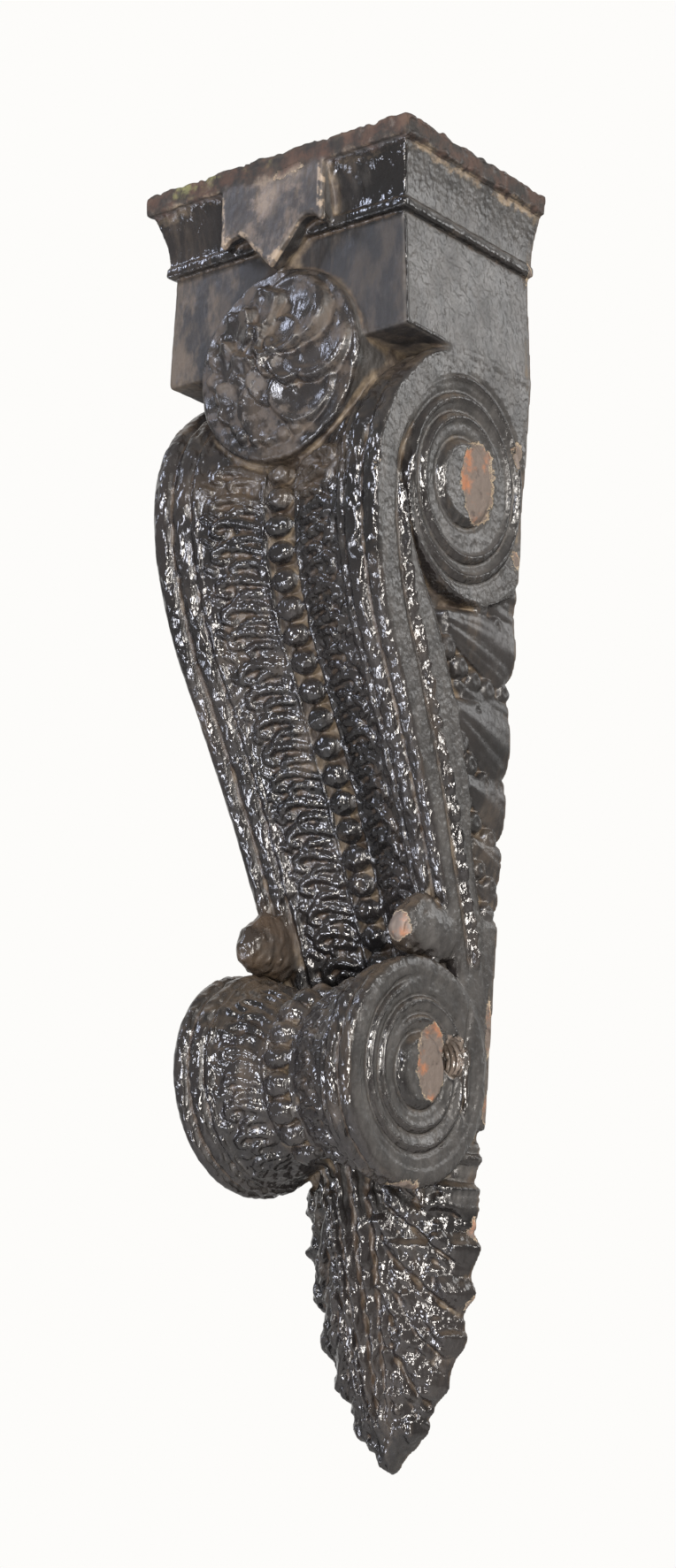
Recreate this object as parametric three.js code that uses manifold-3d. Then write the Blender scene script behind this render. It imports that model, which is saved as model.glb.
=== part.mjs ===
// Cast iron wall corbel: a cornice and block on a tapered S scroll that ends in a small
// forward volute, with an acanthus leaf hanging below it. The whole corbel is one hollow
// casting, open at the back, where it stands against the wall.
// Millimetres. +X right, +Y into the wall, +Z up. The back lies in the plane y = 0.
import * as THREE from 'three';
import { mergeVertices } from 'three/addons/utils/BufferGeometryUtils.js';
import Module from 'manifold-3d';

const wasm = await Module();
wasm.setup();

// Cornice and block. A drop is a distance below the top face.
const slabHalfWidth = 73.4;
const slabDepth = 103;
const slabThickness = 10.4;
const corniceHeight = 38.8;
const blockHalfWidth = 64;
const blockDepth = 91.1;
const blockDrop = 90.2;
const filletHeight = 4.6;
const wallThickness = 9;

// Shield on the front of the cornice
const shieldHalfWidth = 28.2;
const shieldPointDrop = 52.6;

// Rosette boss at the foot of the block
const bossRadius = 43;
const bossDrop = 94.6;
const bossProjection = 17;
const bossPetals = 6;

// S scroll: its height runs from the block to the bottom of the lower volute
const scrollHeight = 352.2;
const scrollDepth = 103.7;
const scrollTopHalfWidth = 66.1;
const scrollLowHalfWidth = 46.2;
const voluteRadiusLow = 47.2;
const voluteStep = 0.6;
const voluteRadiusHigh = 49.5;
const webRecess = 6.5;
const bandWidthHigh = 34;
const bandWidthLow = 22;

// Sunk front panel with its bead row and leaflets
const panelDepth = 15;
const beadRadius = 6.4;
const beadPitch = 12.9;
const leafletLength = 27;

// Spiral fillets and eyes on the side faces
const filletRelief = 2.6;
const filletHalfWidth = 3.2;
const eyeRadiusHigh = 18;
const eyeRadiusLow = 15;
const eyeRelief = 4;

// Tapped hole in the right side
const holeRadius = 8;
const threadPitch = 2.3;
const threadDepth = 1.2;
const threadedWall = 14.5;

// Husk buds above the lower volute
const budRadius = 15;

// Pendant leaf
const leafHeight = 119.6;
const leafHalfWidth = 42;
const leafDepthTop = 40;
const leafDepthTip = 12.5;

const castIronColour = 0x1d1e20;

// Heights follow from the drops; the origin is half way up the top slab's rear edge
const fromTop = (drop) => slabThickness / 2 - drop;
const voluteLowDrop = blockDrop + scrollHeight - voluteRadiusLow;
const voluteLowY = -1.02 * voluteRadiusLow;
const voluteHighDrop = blockDrop + 0.152 * scrollHeight;
const voluteHighY = -0.445 * scrollDepth;
const taper = (scrollTopHalfWidth - scrollLowHalfWidth) / (voluteLowDrop - blockDrop);
const halfWidthAt = (drop) => scrollTopHalfWidth - taper * (drop - blockDrop);

// Front edge of the scroll seen from the side, as shares of its depth and height
const frontShares = [
  [0.44, -0.012], [0.64, 0.006], [0.797, 0.041], [0.92, 0.086], [0.987, 0.139],
  [1.0, 0.193], [0.978, 0.254], [0.882, 0.343], [0.746, 0.419], [0.537, 0.541],
  [0.383, 0.645], [0.28, 0.715], [0.193, 0.8], [0.135, 0.88],
];
const frontCurve = new THREE.CatmullRomCurve3(frontShares.map(([depth, height]) =>
  new THREE.Vector3(0, -depth * scrollDepth, fromTop(blockDrop + height * scrollHeight))));
const dropOf = (point) => slabThickness / 2 - point.z;

// Half of the front section: share of the half-width, share of the panel's depth
const sectionHalf = [
  [1, 0.04], [0.88, 0], [0.85, 0.13], [0.71, 0.07], [0.67, 0.2],
  [0.6, 0.22], [0.15, 0.8], [0.13, 1],
];
const section = [...sectionHalf, ...sectionHalf.map(([u, d]) => [-u, d]).reverse()];

// Solids
function toSolid(geometry) {
  return new wasm.Manifold(new wasm.Mesh({
    numProp: 3,
    vertProperties: new Float32Array(geometry.attributes.position.array),
    triVerts: new Uint32Array(geometry.index.array),
  }));
}

function signedVolume(points, triangles) {
  const a = new THREE.Vector3();
  let total = 0;
  for (const [i, j, k] of triangles) {
    total += a.crossVectors(points[i], points[j]).dot(points[k]);
  }
  return total / 6;
}

function closedSolid(points, triangles) {
  const outward = signedVolume(points, triangles) > 0;
  const index = triangles.flatMap(([i, j, k]) => (outward ? [i, j, k] : [i, k, j]));
  const geometry = new THREE.BufferGeometry();
  geometry.setAttribute('position', new THREE.Float32BufferAttribute(
    points.flatMap((point) => point.toArray()), 3));
  geometry.setIndex(index);
  return toSolid(mergeVertices(geometry, 1e-4));
}

// A skin over rings of equally many points, closed at both ends
function loft(rings) {
  const count = rings[0].length;
  const points = rings.flat();
  const triangles = [];
  for (let row = 0; row < rings.length - 1; row += 1) {
    for (let column = 0; column < count; column += 1) {
      const next = (column + 1) % count;
      const [a, b] = [row * count + column, row * count + next];
      triangles.push([a, b, b + count], [a, b + count, a + count]);
    }
  }
  for (const last of [false, true]) {
    const start = last ? (rings.length - 1) * count : 0;
    const ring = last ? rings[rings.length - 1] : rings[0];
    const centre = ring.reduce((sum, point) => sum.add(point), new THREE.Vector3());
    points.push(centre.divideScalar(count));
    for (let column = 0; column < count; column += 1) {
      const [a, b] = [start + column, start + ((column + 1) % count)];
      triangles.push(last ? [a, b, points.length - 1] : [b, a, points.length - 1]);
    }
  }
  return closedSolid(points, triangles);
}

// A plate between two side surfaces, over an outline of [y, drop] pairs
function sidePlate(outline, side, innerX, outerX) {
  const toFlat = ([y, drop]) => new THREE.Vector2(y, -drop);
  const pairs = THREE.ShapeUtils.isClockWise(outline.map(toFlat)) ? [...outline].reverse() : outline;
  const count = pairs.length;
  const at = (x, [y, drop]) => new THREE.Vector3(side * x(drop), y, fromTop(drop));
  const points = [...pairs.map((pair) => at(innerX, pair)), ...pairs.map((pair) => at(outerX, pair))];
  const triangles = [];
  for (const [i, j, k] of THREE.ShapeUtils.triangulateShape(pairs.map(toFlat), [])) {
    triangles.push([i, k, j], [i + count, j + count, k + count]);
  }
  for (let i = 0; i < count; i += 1) {
    const next = (i + 1) % count;
    triangles.push([i, next, next + count], [i, next + count, i + count]);
  }
  return closedSolid(points, triangles);
}

// Horizontal rectangles against the wall, stacked from the top down
function stack(levels, back = 0) {
  return loft(levels.map(([drop, halfWidth, depth]) => [
    new THREE.Vector3(halfWidth, back, fromTop(drop)),
    new THREE.Vector3(-halfWidth, back, fromTop(drop)),
    new THREE.Vector3(-halfWidth, -depth, fromTop(drop)),
    new THREE.Vector3(halfWidth, -depth, fromTop(drop)),
  ]));
}

// A low-sided ball, stretched and turned so that its axes lie along the given vectors.
// Its far end is fuller by the club share, and its edge has scallops where asked.
function lump(centre, along, across, out, { sides = 6, rows = 4, club = 0, scallops = 0 } = {}) {
  const points = [new THREE.Vector3(0, 0, 1)];
  for (let row = 1; row < rows; row += 1) {
    const fall = (row / rows) * Math.PI;
    for (let column = 0; column < sides; column += 1) {
      const angle = (column / sides) * 2 * Math.PI;
      const edge = Math.sin(fall) * (1 + (scallops ? 0.1 * Math.cos(scallops * angle) : 0));
      points.push(new THREE.Vector3(edge * Math.cos(angle), edge * Math.sin(angle), Math.cos(fall)));
    }
  }
  points.push(new THREE.Vector3(0, 0, -1));
  const last = points.length - 1;
  const triangles = [];
  for (let column = 0; column < sides; column += 1) {
    const next = (column + 1) % sides;
    triangles.push([0, 1 + column, 1 + next], [last, last - sides + next, last - sides + column]);
    for (let row = 0; row < rows - 2; row += 1) {
      const [a, b] = [1 + row * sides + column, 1 + row * sides + next];
      triangles.push([a, a + sides, b + sides], [a, b + sides, b]);
    }
  }
  const basis = new THREE.Matrix4().makeBasis(along, across, out).setPosition(centre);
  const placed = points.map(({ x, y, z }) => {
    const fullness = 1 + club * x;
    return new THREE.Vector3(x, y * fullness, z * fullness).applyMatrix4(basis);
  });
  return closedSolid(placed, triangles);
}

const joined = (solids) => wasm.Manifold.union(solids);

// Cornice and block

function cornice() {
  const overhangSide = slabHalfWidth - blockHalfWidth;
  const overhangFront = slabDepth - blockDepth;
  const level = (drop, share) => [drop, blockHalfWidth + share * overhangSide, blockDepth + share * overhangFront];
  const filletTop = corniceHeight - filletHeight;
  const coveHeight = filletTop - slabThickness;
  const cove = [];
  for (let step = 0; step <= 4; step += 1) {
    const share = 0.2 + 0.58 * (1 - Math.sin((step / 4) * Math.PI / 2));
    cove.push(level(slabThickness + coveHeight * (step / 4), share));
  }
  return stack([
    level(0, 1), level(slabThickness, 1), ...cove,
    level(filletTop, 0.3), level(corniceHeight, 0.3), level(corniceHeight, 0), level(blockDrop, 0),
  ]);
}

function shield() {
  const halfOutline = [[1, 0], [1, 0.66], [0.72, 0.6], [0.5, 0.64], [0, 1]];
  const outline = [...halfOutline, ...halfOutline.slice(0, -1).map(([x, z]) => [-x, z]).reverse()];
  const topDrop = 0.8 * slabThickness;
  const span = shieldPointDrop - topDrop;
  const ring = (y) => outline.map(([x, z]) =>
    new THREE.Vector3(x * shieldHalfWidth, y, fromTop(topDrop + z * span)));
  return loft([ring(-slabDepth), ring(-0.99 * blockDepth)]);
}

// Rosette: a plain rim round a low dome, two rings of ruffled petals and a small knot
function boss() {
  const segments = 24;
  const rimDepth = blockDepth + 0.3 * bossProjection;
  const ring = (share, depth) => Array.from({ length: segments }, (_, i) => {
    const angle = (i / segments) * 2 * Math.PI;
    const radius = share * bossRadius;
    return new THREE.Vector3(radius * Math.cos(angle), -depth, fromTop(bossDrop) + radius * Math.sin(angle));
  });
  const dome = loft([
    ring(1, 0.7 * blockDepth), ring(1, blockDepth + 0.1 * bossProjection), ring(0.97, rimDepth),
    ring(0.88, rimDepth), ring(0.84, rimDepth - 0.09 * bossProjection),
    ring(0.55, blockDepth + 0.62 * bossProjection), ring(0.2, blockDepth + 0.7 * bossProjection),
  ]);
  const petal = (turn, reach, depth, length, breadth, rise) => {
    const out = new THREE.Vector3(Math.sin(turn), 0, Math.cos(turn));
    const centre = out.clone().multiplyScalar(reach * bossRadius);
    centre.add(new THREE.Vector3(0, -depth, fromTop(bossDrop)));
    const along = out.clone().multiplyScalar(length * bossRadius);
    along.y = rise * bossProjection;
    const across = new THREE.Vector3(Math.cos(turn), 0, -Math.sin(turn)).multiplyScalar(breadth * bossRadius);
    const outward = new THREE.Vector3(0, -0.3 * bossProjection, 0);
    return lump(centre, along, across, outward, { sides: 10, rows: 3, scallops: 5, club: 0.3 });
  };
  const outer = Array.from({ length: bossPetals }, (_, i) => {
    const turn = (i / bossPetals) * 2 * Math.PI;
    return petal(turn, 0.58, blockDepth + 0.42 * bossProjection, 0.29, 0.3, 0.15);
  });
  const inner = Array.from({ length: bossPetals - 1 }, (_, i) => {
    const turn = ((i + 0.5) / (bossPetals - 1)) * 2 * Math.PI;
    return petal(turn, 0.27, blockDepth + 0.66 * bossProjection, 0.2, 0.17, 0.12);
  });
  const knotDrop = bossDrop + 0.09 * bossRadius;
  const knotCentre = new THREE.Vector3(0, -blockDepth - 0.82 * bossProjection, fromTop(knotDrop));
  const knot = lump(knotCentre, new THREE.Vector3(0.14 * bossRadius, 0, 0),
    new THREE.Vector3(0, 0, 0.16 * bossRadius), new THREE.Vector3(0, -0.26 * bossProjection, 0),
    { sides: 8, rows: 4 });
  return joined([dome, ...outer, ...inner, knot]);
}

// Scroll

// Share of the front edge's length at a height that is a share of the scroll's own
function shareAtHeight(height) {
  let [low, high] = [0, 1];
  for (let step = 0; step < 30; step += 1) {
    const middle = (low + high) / 2;
    if (dropOf(frontCurve.getPointAt(middle)) < blockDrop + height * scrollHeight) {
      low = middle;
    } else {
      high = middle;
    }
  }
  return low;
}

function frameAt(share) {
  const point = frontCurve.getPointAt(share);
  const down = frontCurve.getTangentAt(share);
  const inward = new THREE.Vector3(0, -down.z, down.y);
  return { point, down, inward };
}

// The body of the scroll, from its front section back to the wall
function scrollBody() {
  const stations = 20;
  const wallTop = 0.98 * blockDrop;
  const wallBottom = voluteLowDrop + 0.41 * voluteRadiusLow;
  const rings = [];
  for (let i = 0; i <= stations; i += 1) {
    const share = i / stations;
    const { point, inward } = frameAt(share);
    const front = section.map(([u, depth]) => {
      const spot = point.clone().addScaledVector(inward, depth * panelDepth);
      spot.x = u * halfWidthAt(dropOf(point));
      return spot;
    });
    const wallDrop = wallTop + (wallBottom - wallTop) * share ** 1.15;
    const wallHalfWidth = halfWidthAt(wallDrop);
    rings.push([...front,
      new THREE.Vector3(-wallHalfWidth, 0, fromTop(wallDrop)),
      new THREE.Vector3(wallHalfWidth, 0, fromTop(wallDrop))]);
  }
  return loft(rings);
}

// Neck that closes the scroll's panel up to the foot of the block, behind the boss
function neck() {
  const front = 0.84 * blockDepth;
  return stack([
    [0.98 * blockDrop, 0.66 * scrollTopHalfWidth, front],
    [bossDrop + 0.35 * bossRadius, 0.64 * scrollTopHalfWidth, front],
    [bossDrop + 0.9 * bossRadius, 0.6 * scrollTopHalfWidth, 0.6 * front],
  ], -0.4 * blockDepth);
}

// The lower volute: the same section carried round a circle
function lowVolute() {
  const steps = 20;
  return loft(section.map(([u, depth]) => Array.from({ length: steps }, (_, i) => {
    const angle = (i / steps) * 2 * Math.PI;
    const radius = voluteRadiusLow - depth * panelDepth;
    const drop = voluteLowDrop - radius * Math.sin(angle);
    const rimDrop = voluteLowDrop - voluteRadiusLow * Math.sin(angle);
    const halfWidth = halfWidthAt(rimDrop) + voluteStep;
    return new THREE.Vector3(u * halfWidth, voluteLowY + radius * Math.cos(angle), fromTop(drop));
  })));
}

// The web between the band and the wall is sunk on both sides. The band before it runs
// out upwards under the disc of the upper volute.
function bandWidthAt(height) {
  const widest = 0.345;
  return height < widest
    ? THREE.MathUtils.mapLinear(height, 0.215, widest, 0.62 * bandWidthHigh, bandWidthHigh)
    : THREE.MathUtils.mapLinear(height, widest, 0.645, bandWidthHigh, bandWidthLow);
}

function behindBand(height, share = 1) {
  const { point, inward } = frameAt(shareAtHeight(height));
  const spot = point.clone().addScaledVector(inward, share * bandWidthAt(height));
  return [spot.y, dropOf(spot)];
}

function sunkWeb(side) {
  const outline = [];
  for (let height = 0.19; height < 0.66; height += 0.036) {
    const spot = behindBand(height);
    if (spot[0] < 0) {
      outline.push(spot);
    }
  }
  const [, firstDrop] = outline[0];
  const [, lastDrop] = outline[outline.length - 1];
  const pastWall = 0.3 * webRecess;
  outline.push([pastWall, lastDrop + 1.2 * webRecess], [pastWall, firstDrop]);
  const disc = Array.from({ length: 24 }, (_, i) => {
    const angle = (i / 24) * 2 * Math.PI;
    return [voluteHighY + (0.2 + 0.92 * Math.cos(angle)) * voluteRadiusHigh,
      voluteHighDrop + (0.127 - 0.92 * Math.sin(angle)) * voluteRadiusHigh];
  });
  const inner = (drop) => halfWidthAt(drop) - webRecess;
  const cutter = sidePlate(outline, side, inner, (drop) => halfWidthAt(drop) + 2 * webRecess);
  return cutter.subtract(sidePlate(disc, side, () => 0, (drop) => halfWidthAt(drop) + 3 * webRecess));
}

// A raised fillet along a path of [y, drop] points on a side face
function sideFillet(path, side, height, halfWidth) {
  const rings = path.map(([y, drop], i) => {
    const [y0, drop0] = path[Math.max(0, i - 1)];
    const [y1, drop1] = path[Math.min(path.length - 1, i + 1)];
    const length = Math.hypot(y1 - y0, drop1 - drop0);
    const [normalY, normalDrop] = [-(drop1 - drop0) / length, (y1 - y0) / length];
    return [[-1, -0.45], [0, 1], [1, -0.45]].map(([offset, out]) => {
      const spotDrop = drop + offset * halfWidth * normalDrop;
      const spotY = y + offset * halfWidth * normalY;
      return new THREE.Vector3(side * (halfWidthAt(spotDrop) + out * height), spotY, fromTop(spotDrop));
    });
  });
  return loft(rings);
}

// Spiral of [y, drop] points from an outer to an inner radius, by turns
function spiral(centreY, centreDrop, start, turns, outer, inner, direction) {
  const steps = Math.round(turns * 10);
  return Array.from({ length: steps + 1 }, (_, i) => {
    const share = i / steps;
    const angle = THREE.MathUtils.degToRad(start) + direction * share * turns * 2 * Math.PI;
    const radius = outer + (inner - outer) * share;
    return [centreY + radius * Math.cos(angle), centreDrop - radius * Math.sin(angle)];
  });
}

function eye(side, y, drop, radius) {
  const ring = (share, out) => Array.from({ length: 14 }, (_, i) => {
    const angle = (i / 14) * 2 * Math.PI;
    const spotDrop = drop + share * radius * Math.sin(angle);
    const spotY = y + share * radius * Math.cos(angle);
    return new THREE.Vector3(side * (halfWidthAt(spotDrop) + out), spotY, fromTop(spotDrop));
  });
  return loft([ring(1, -0.75 * eyeRelief), ring(1, 0.55 * eyeRelief), ring(0.8, eyeRelief)]);
}

// The band's middle fillet follows the front edge
function bandFilletPath() {
  const path = [];
  for (let height = 0.19; height <= 0.8; height += 0.055) {
    path.push(behindBand(height, 0.6));
  }
  return path.filter(([y]) => y < -1.25 * filletHalfWidth);
}

function sideFillets(side) {
  const high = spiral(voluteHighY, voluteHighDrop, 200, 2.1, 0.95 * voluteRadiusHigh, 1.12 * eyeRadiusHigh, -1);
  const low = spiral(voluteLowY, voluteLowDrop, 60, 2, 0.83 * voluteRadiusLow, 1.2 * eyeRadiusLow, 1);
  const kept = high.filter(([y]) => y < -1.3 * filletHalfWidth);
  const runs = [];
  let run = [];
  for (const spot of high) {
    if (kept.includes(spot)) {
      run.push(spot);
    } else if (run.length > 1) {
      runs.push(run);
      run = [];
    } else {
      run = [];
    }
  }
  if (run.length > 1) {
    runs.push(run);
  }
  return [...runs, low, bandFilletPath()].map((path) => sideFillet(path, side, filletRelief, filletHalfWidth));
}

// Acanthus lobes on the sunk web: their centres as shares of the scroll, and their sizes
// as shares of the upper volute's radius
const webLobes = [
  { y: -0.3, share: 0.265, length: 0.4, breadth: 0.2, tilt: 20 },
  { y: -0.42, share: 0.325, length: 0.6, breadth: 0.26, tilt: 18 },
  { y: -0.33, share: 0.43, length: 0.55, breadth: 0.3, tilt: 22 },
  { y: -0.22, share: 0.5, length: 0.36, breadth: 0.26, tilt: 30 },
  { y: -0.13, share: 0.575, length: 0.28, breadth: 0.26, tilt: 40 },
];

function lobes(side) {
  return webLobes.map(({ y, share, length, breadth, tilt }) => {
    const drop = blockDrop + share * scrollHeight;
    const angle = THREE.MathUtils.degToRad(tilt);
    const along = new THREE.Vector3(0, Math.cos(angle), -Math.sin(angle));
    const across = new THREE.Vector3(0, Math.sin(angle), Math.cos(angle));
    along.multiplyScalar(length * voluteRadiusHigh);
    across.multiplyScalar(breadth * voluteRadiusHigh);
    const out = new THREE.Vector3(-side * 1.25 * webRecess, 0, 0);
    const centre = new THREE.Vector3(side * (halfWidthAt(drop) - webRecess), y * scrollDepth, fromTop(drop));
    return lump(centre, along, across, out, { sides: 12, rows: 4, scallops: 6, club: 0.2 });
  });
}

// Husk buds that close the crevice above the lower volute, one at each side
function buds(side) {
  const drop = voluteLowDrop - 1.24 * voluteRadiusLow;
  const x = side * (halfWidthAt(drop) - 0.53 * budRadius);
  return [[-0.07, 0, 1], [-0.67, 0.33, 0.7], [0.47, 0.27, 0.7]].map(([shift, fall, size]) => lump(
    new THREE.Vector3(x, voluteLowY + shift * budRadius, fromTop(drop + fall * budRadius)),
    new THREE.Vector3(0, size * budRadius, 0), new THREE.Vector3(0.73 * size * budRadius, 0, 0),
    new THREE.Vector3(0, 0, 0.93 * size * budRadius), { sides: 6, rows: 4 }));
}

// Ornament of the sunk panel: beads on the axis, leaflets on both sides

function panelRow(count, frame) {
  const solids = [];
  const sideways = new THREE.Vector3(1, 0, 0);
  for (let i = 0; i < count; i += 1) {
    const { point, down, inward } = frame(i);
    const halfWidth = halfWidthAt(dropOf(point));
    const crown = point.clone().addScaledVector(inward, panelDepth + 0.25 * beadRadius);
    solids.push(lump(crown, sideways.clone().multiplyScalar(1.04 * beadRadius),
      down.clone().multiplyScalar(0.92 * beadRadius), inward.clone().multiplyScalar(beadRadius),
      { sides: 6, rows: 3 }));
    for (const side of [1, -1]) {
      const along = sideways.clone().multiplyScalar(side * 0.92).addScaledVector(down, -0.38);
      const across = down.clone().multiplyScalar(0.92).addScaledVector(sideways, side * 0.38);
      const centre = point.clone().addScaledVector(inward, 0.62 * panelDepth);
      centre.x = side * 0.36 * halfWidth;
      const length = (leafletLength / 2) * (halfWidth / scrollTopHalfWidth);
      solids.push(lump(centre, along.multiplyScalar(length), across.multiplyScalar(0.34 * beadPitch),
        inward.clone().multiplyScalar(0.27 * panelDepth), { sides: 5, rows: 3, club: 0.35 }));
    }
  }
  return solids;
}

function panelOrnament() {
  const start = shareAtHeight(0.16);
  const end = shareAtHeight(0.72);
  const count = Math.floor(((end - start) * frontCurve.getLength()) / beadPitch);
  const upper = panelRow(count, (i) => frameAt(start + (end - start) * (i / count)));
  const step = beadPitch / voluteRadiusLow;
  const lower = panelRow(8, (i) => {
    const angle = THREE.MathUtils.degToRad(112) + i * step;
    const out = new THREE.Vector3(0, Math.cos(angle), Math.sin(angle));
    const point = new THREE.Vector3(0, voluteLowY, fromTop(voluteLowDrop)).addScaledVector(out, voluteRadiusLow);
    return { point, down: new THREE.Vector3(0, -out.z, out.y), inward: out.clone().negate() };
  });
  return [...upper, ...lower];
}

// Pendant leaf: half a pointed cone against the wall, with a ribbed stem down its middle
// and lobes that slant out to a ruffled edge
const leafColumns = [
  { t: 0, ridge: 0.05 }, { t: 0.055, ridge: -0.03 }, { t: 0.12, ridge: 0.03 }, { t: 0.19, ridge: -0.07 },
  { t: 0.34, ridge: 0 }, { t: 0.52, ridge: 0 }, { t: 0.7, ridge: 0 }, { t: 0.87, ridge: 0 }, { t: 1, ridge: 0 },
];
const leafLobes = 4.5;

function pendantLeaf() {
  const rows = 13;
  const topDrop = voluteLowDrop + 0.17 * voluteRadiusLow;
  const visibleTop = voluteLowDrop + 0.85 * voluteRadiusLow;
  const tipDrop = visibleTop + leafHeight;
  const columns = [...leafColumns.slice(1).map(({ t, ridge }) => ({ t: -t, ridge })).reverse(), ...leafColumns];
  const rings = [];
  for (let i = 0; i <= rows; i += 1) {
    const drop = topDrop + (tipDrop - topDrop) * (i / rows) ** 0.94;
    const share = Math.max(0, (drop - visibleTop) / leafHeight);
    const depth = leafDepthTop + (leafDepthTip - leafDepthTop) * share;
    const taperShare = Math.max(0.03, 1 - share ** 3);
    const lobeAt = (t) => Math.sin((share - 0.22 * t) * leafLobes * 2 * Math.PI);
    const halfWidth = leafHalfWidth * taperShare * (1 + 0.045 * lobeAt(1));
    const ring = columns.map(({ t, ridge }) => {
      const reach = Math.abs(t);
      const fullness = (1 - reach ** 1.4) ** (1 / 1.4);
      const lobe = reach > 0.19 ? 0.075 * lobeAt(reach) * Math.sin(Math.PI * reach) : 0;
      const out = depth * taperShare ** 0.35 * Math.max(0.05, fullness + ridge + lobe);
      return new THREE.Vector3(halfWidth * t, -out, fromTop(drop));
    });
    const backHalfWidth = 0.97 * halfWidth;
    ring.push(new THREE.Vector3(backHalfWidth, 0, fromTop(drop)));
    ring.push(new THREE.Vector3(-backHalfWidth, 0, fromTop(drop)));
    rings.push(ring);
  }
  return loft(rings);
}

// Hollows, open at the back

function hollows() {
  const inner = blockHalfWidth - wallThickness;
  const floorDrop = blockDrop - wallThickness;
  const innerDepth = blockDepth - wallThickness;
  const shelfDepth = 0.5 * innerDepth;
  const levels = [
    [slabThickness, inner, innerDepth], [floorDrop, inner, innerDepth],
    [floorDrop, inner, shelfDepth], [blockDrop + 0.4 * wallThickness, inner, shelfDepth],
  ];
  for (let height = 0.11; height <= 0.55; height += 0.055) {
    const { point, inward } = frameAt(shareAtHeight(height));
    const spot = point.clone().addScaledVector(inward, panelDepth + wallThickness);
    levels.push([dropOf(spot), halfWidthAt(dropOf(spot)) - webRecess - wallThickness, -spot.y]);
  }
  const upper = stack(levels.filter(([, , depth]) => depth > 0.67 * wallThickness), 1);
  const radius = voluteRadiusLow - panelDepth - wallThickness;
  const chamberDrop = voluteLowDrop - 0.19 * voluteRadiusLow;
  const chamber = [-1, -0.7, 0, 0.7, 1].map((share) => {
    const drop = chamberDrop + share * 0.85 * radius;
    return [drop, halfWidthAt(drop) - threadedWall, -voluteLowY + radius * Math.sqrt(1.02 - share * share)];
  });
  return [upper, stack(chamber, 1)];
}

// Tapped through hole into the lower hollow, with its thread as ring grooves
function tappedHole() {
  const drop = voluteLowDrop - 0.17 * voluteRadiusLow;
  const y = 0.54 * voluteLowY;
  const face = halfWidthAt(drop);
  const rows = [[face + holeRadius, 0]];
  const turns = Math.floor(0.93 * threadedWall / threadPitch);
  for (let turn = 0; turn < turns; turn += 1) {
    const x = face - (turn + 0.35) * threadPitch;
    rows.push([x, 0], [x - 0.5 * threadPitch, threadDepth]);
  }
  rows.push([face - (turns + 0.35) * threadPitch, 0], [face - threadedWall - 0.5 * holeRadius, 0]);
  return loft(rows.map(([x, deeper]) => Array.from({ length: 10 }, (_, i) => {
    const angle = (i / 10) * 2 * Math.PI;
    const radius = holeRadius + deeper;
    return new THREE.Vector3(x, y + radius * Math.cos(angle), fromTop(drop) + radius * Math.sin(angle));
  })));
}

// Assembly

function casting() {
  const scroll = scrollBody().subtract(joined([1, -1].map(sunkWeb)));
  const sides = [1, -1].flatMap((side) => [
    ...sideFillets(side),
    eye(side, voluteHighY, voluteHighDrop, eyeRadiusHigh),
    eye(side, voluteLowY, voluteLowDrop, eyeRadiusLow),
    ...lobes(side),
    ...buds(side),
  ]);
  const whole = joined([
    cornice(), shield(), boss(), neck(), scroll, lowVolute(), pendantLeaf(), ...sides, ...panelOrnament(),
  ]);
  const reach = 2 * scrollHeight;
  const behindWall = stack([[-slabThickness, reach, 0], [reach, reach, 0]], reach);
  return whole.subtract(joined([...hollows(), tappedHole(), behindWall]));
}

function toGeometry(solid) {
  const mesh = solid.getMesh();
  const geometry = new THREE.BufferGeometry();
  geometry.setAttribute('position', new THREE.Float32BufferAttribute(mesh.vertProperties, 3));
  geometry.setIndex(new THREE.Uint32BufferAttribute(mesh.triVerts, 1));
  geometry.computeVertexNormals();
  return geometry;
}

const iron = new THREE.MeshStandardMaterial({ color: castIronColour, roughness: 0.35, metalness: 0.1 });
const corbel = new THREE.Mesh(toGeometry(casting()), iron);
corbel.name = 'corbel_casting';

const group = new THREE.Group();
group.add(corbel);
export default group;
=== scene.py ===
"""Antique cast iron corbel under old black gloss paint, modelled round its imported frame."""

import math

import bpy
import numpy as np
from mathutils import Matrix, Vector


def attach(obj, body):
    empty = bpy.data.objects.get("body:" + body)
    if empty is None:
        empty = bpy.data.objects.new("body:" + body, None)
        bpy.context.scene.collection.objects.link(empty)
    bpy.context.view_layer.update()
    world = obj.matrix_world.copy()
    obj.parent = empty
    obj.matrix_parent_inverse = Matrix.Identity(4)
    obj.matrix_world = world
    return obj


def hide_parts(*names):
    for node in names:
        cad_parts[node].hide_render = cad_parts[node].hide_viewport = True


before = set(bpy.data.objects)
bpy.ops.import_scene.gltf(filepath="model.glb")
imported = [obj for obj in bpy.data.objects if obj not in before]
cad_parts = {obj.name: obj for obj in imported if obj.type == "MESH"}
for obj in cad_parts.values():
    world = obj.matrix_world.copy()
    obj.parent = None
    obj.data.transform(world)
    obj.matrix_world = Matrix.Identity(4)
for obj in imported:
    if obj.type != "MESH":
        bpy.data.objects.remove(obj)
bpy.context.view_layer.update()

# Camera
# The photograph was taken from below and from the corbel's right, with a long lens
# and the camera a little over a metre away.
camera_azimuth, camera_elevation, camera_roll = [math.radians(angle) for angle in (38.587, -13.889, 1.226)]
camera_place = (0.77661, -1.02051, -0.57179)
camera_data = bpy.data.cameras.new("camera")
camera_data.lens = 69.47
camera_data.sensor_width = 36
camera_data.clip_start = 0.05
camera = bpy.data.objects.new("camera", camera_data)
camera.matrix_world = (
    Matrix.Translation(camera_place) @ Matrix.Rotation(camera_azimuth, 4, "Z")
    @ Matrix.Rotation(math.pi / 2 - camera_elevation, 4, "X") @ Matrix.Rotation(camera_roll, 4, "Z"))
bpy.context.scene.collection.objects.link(camera)
bpy.context.scene.camera = camera

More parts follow.
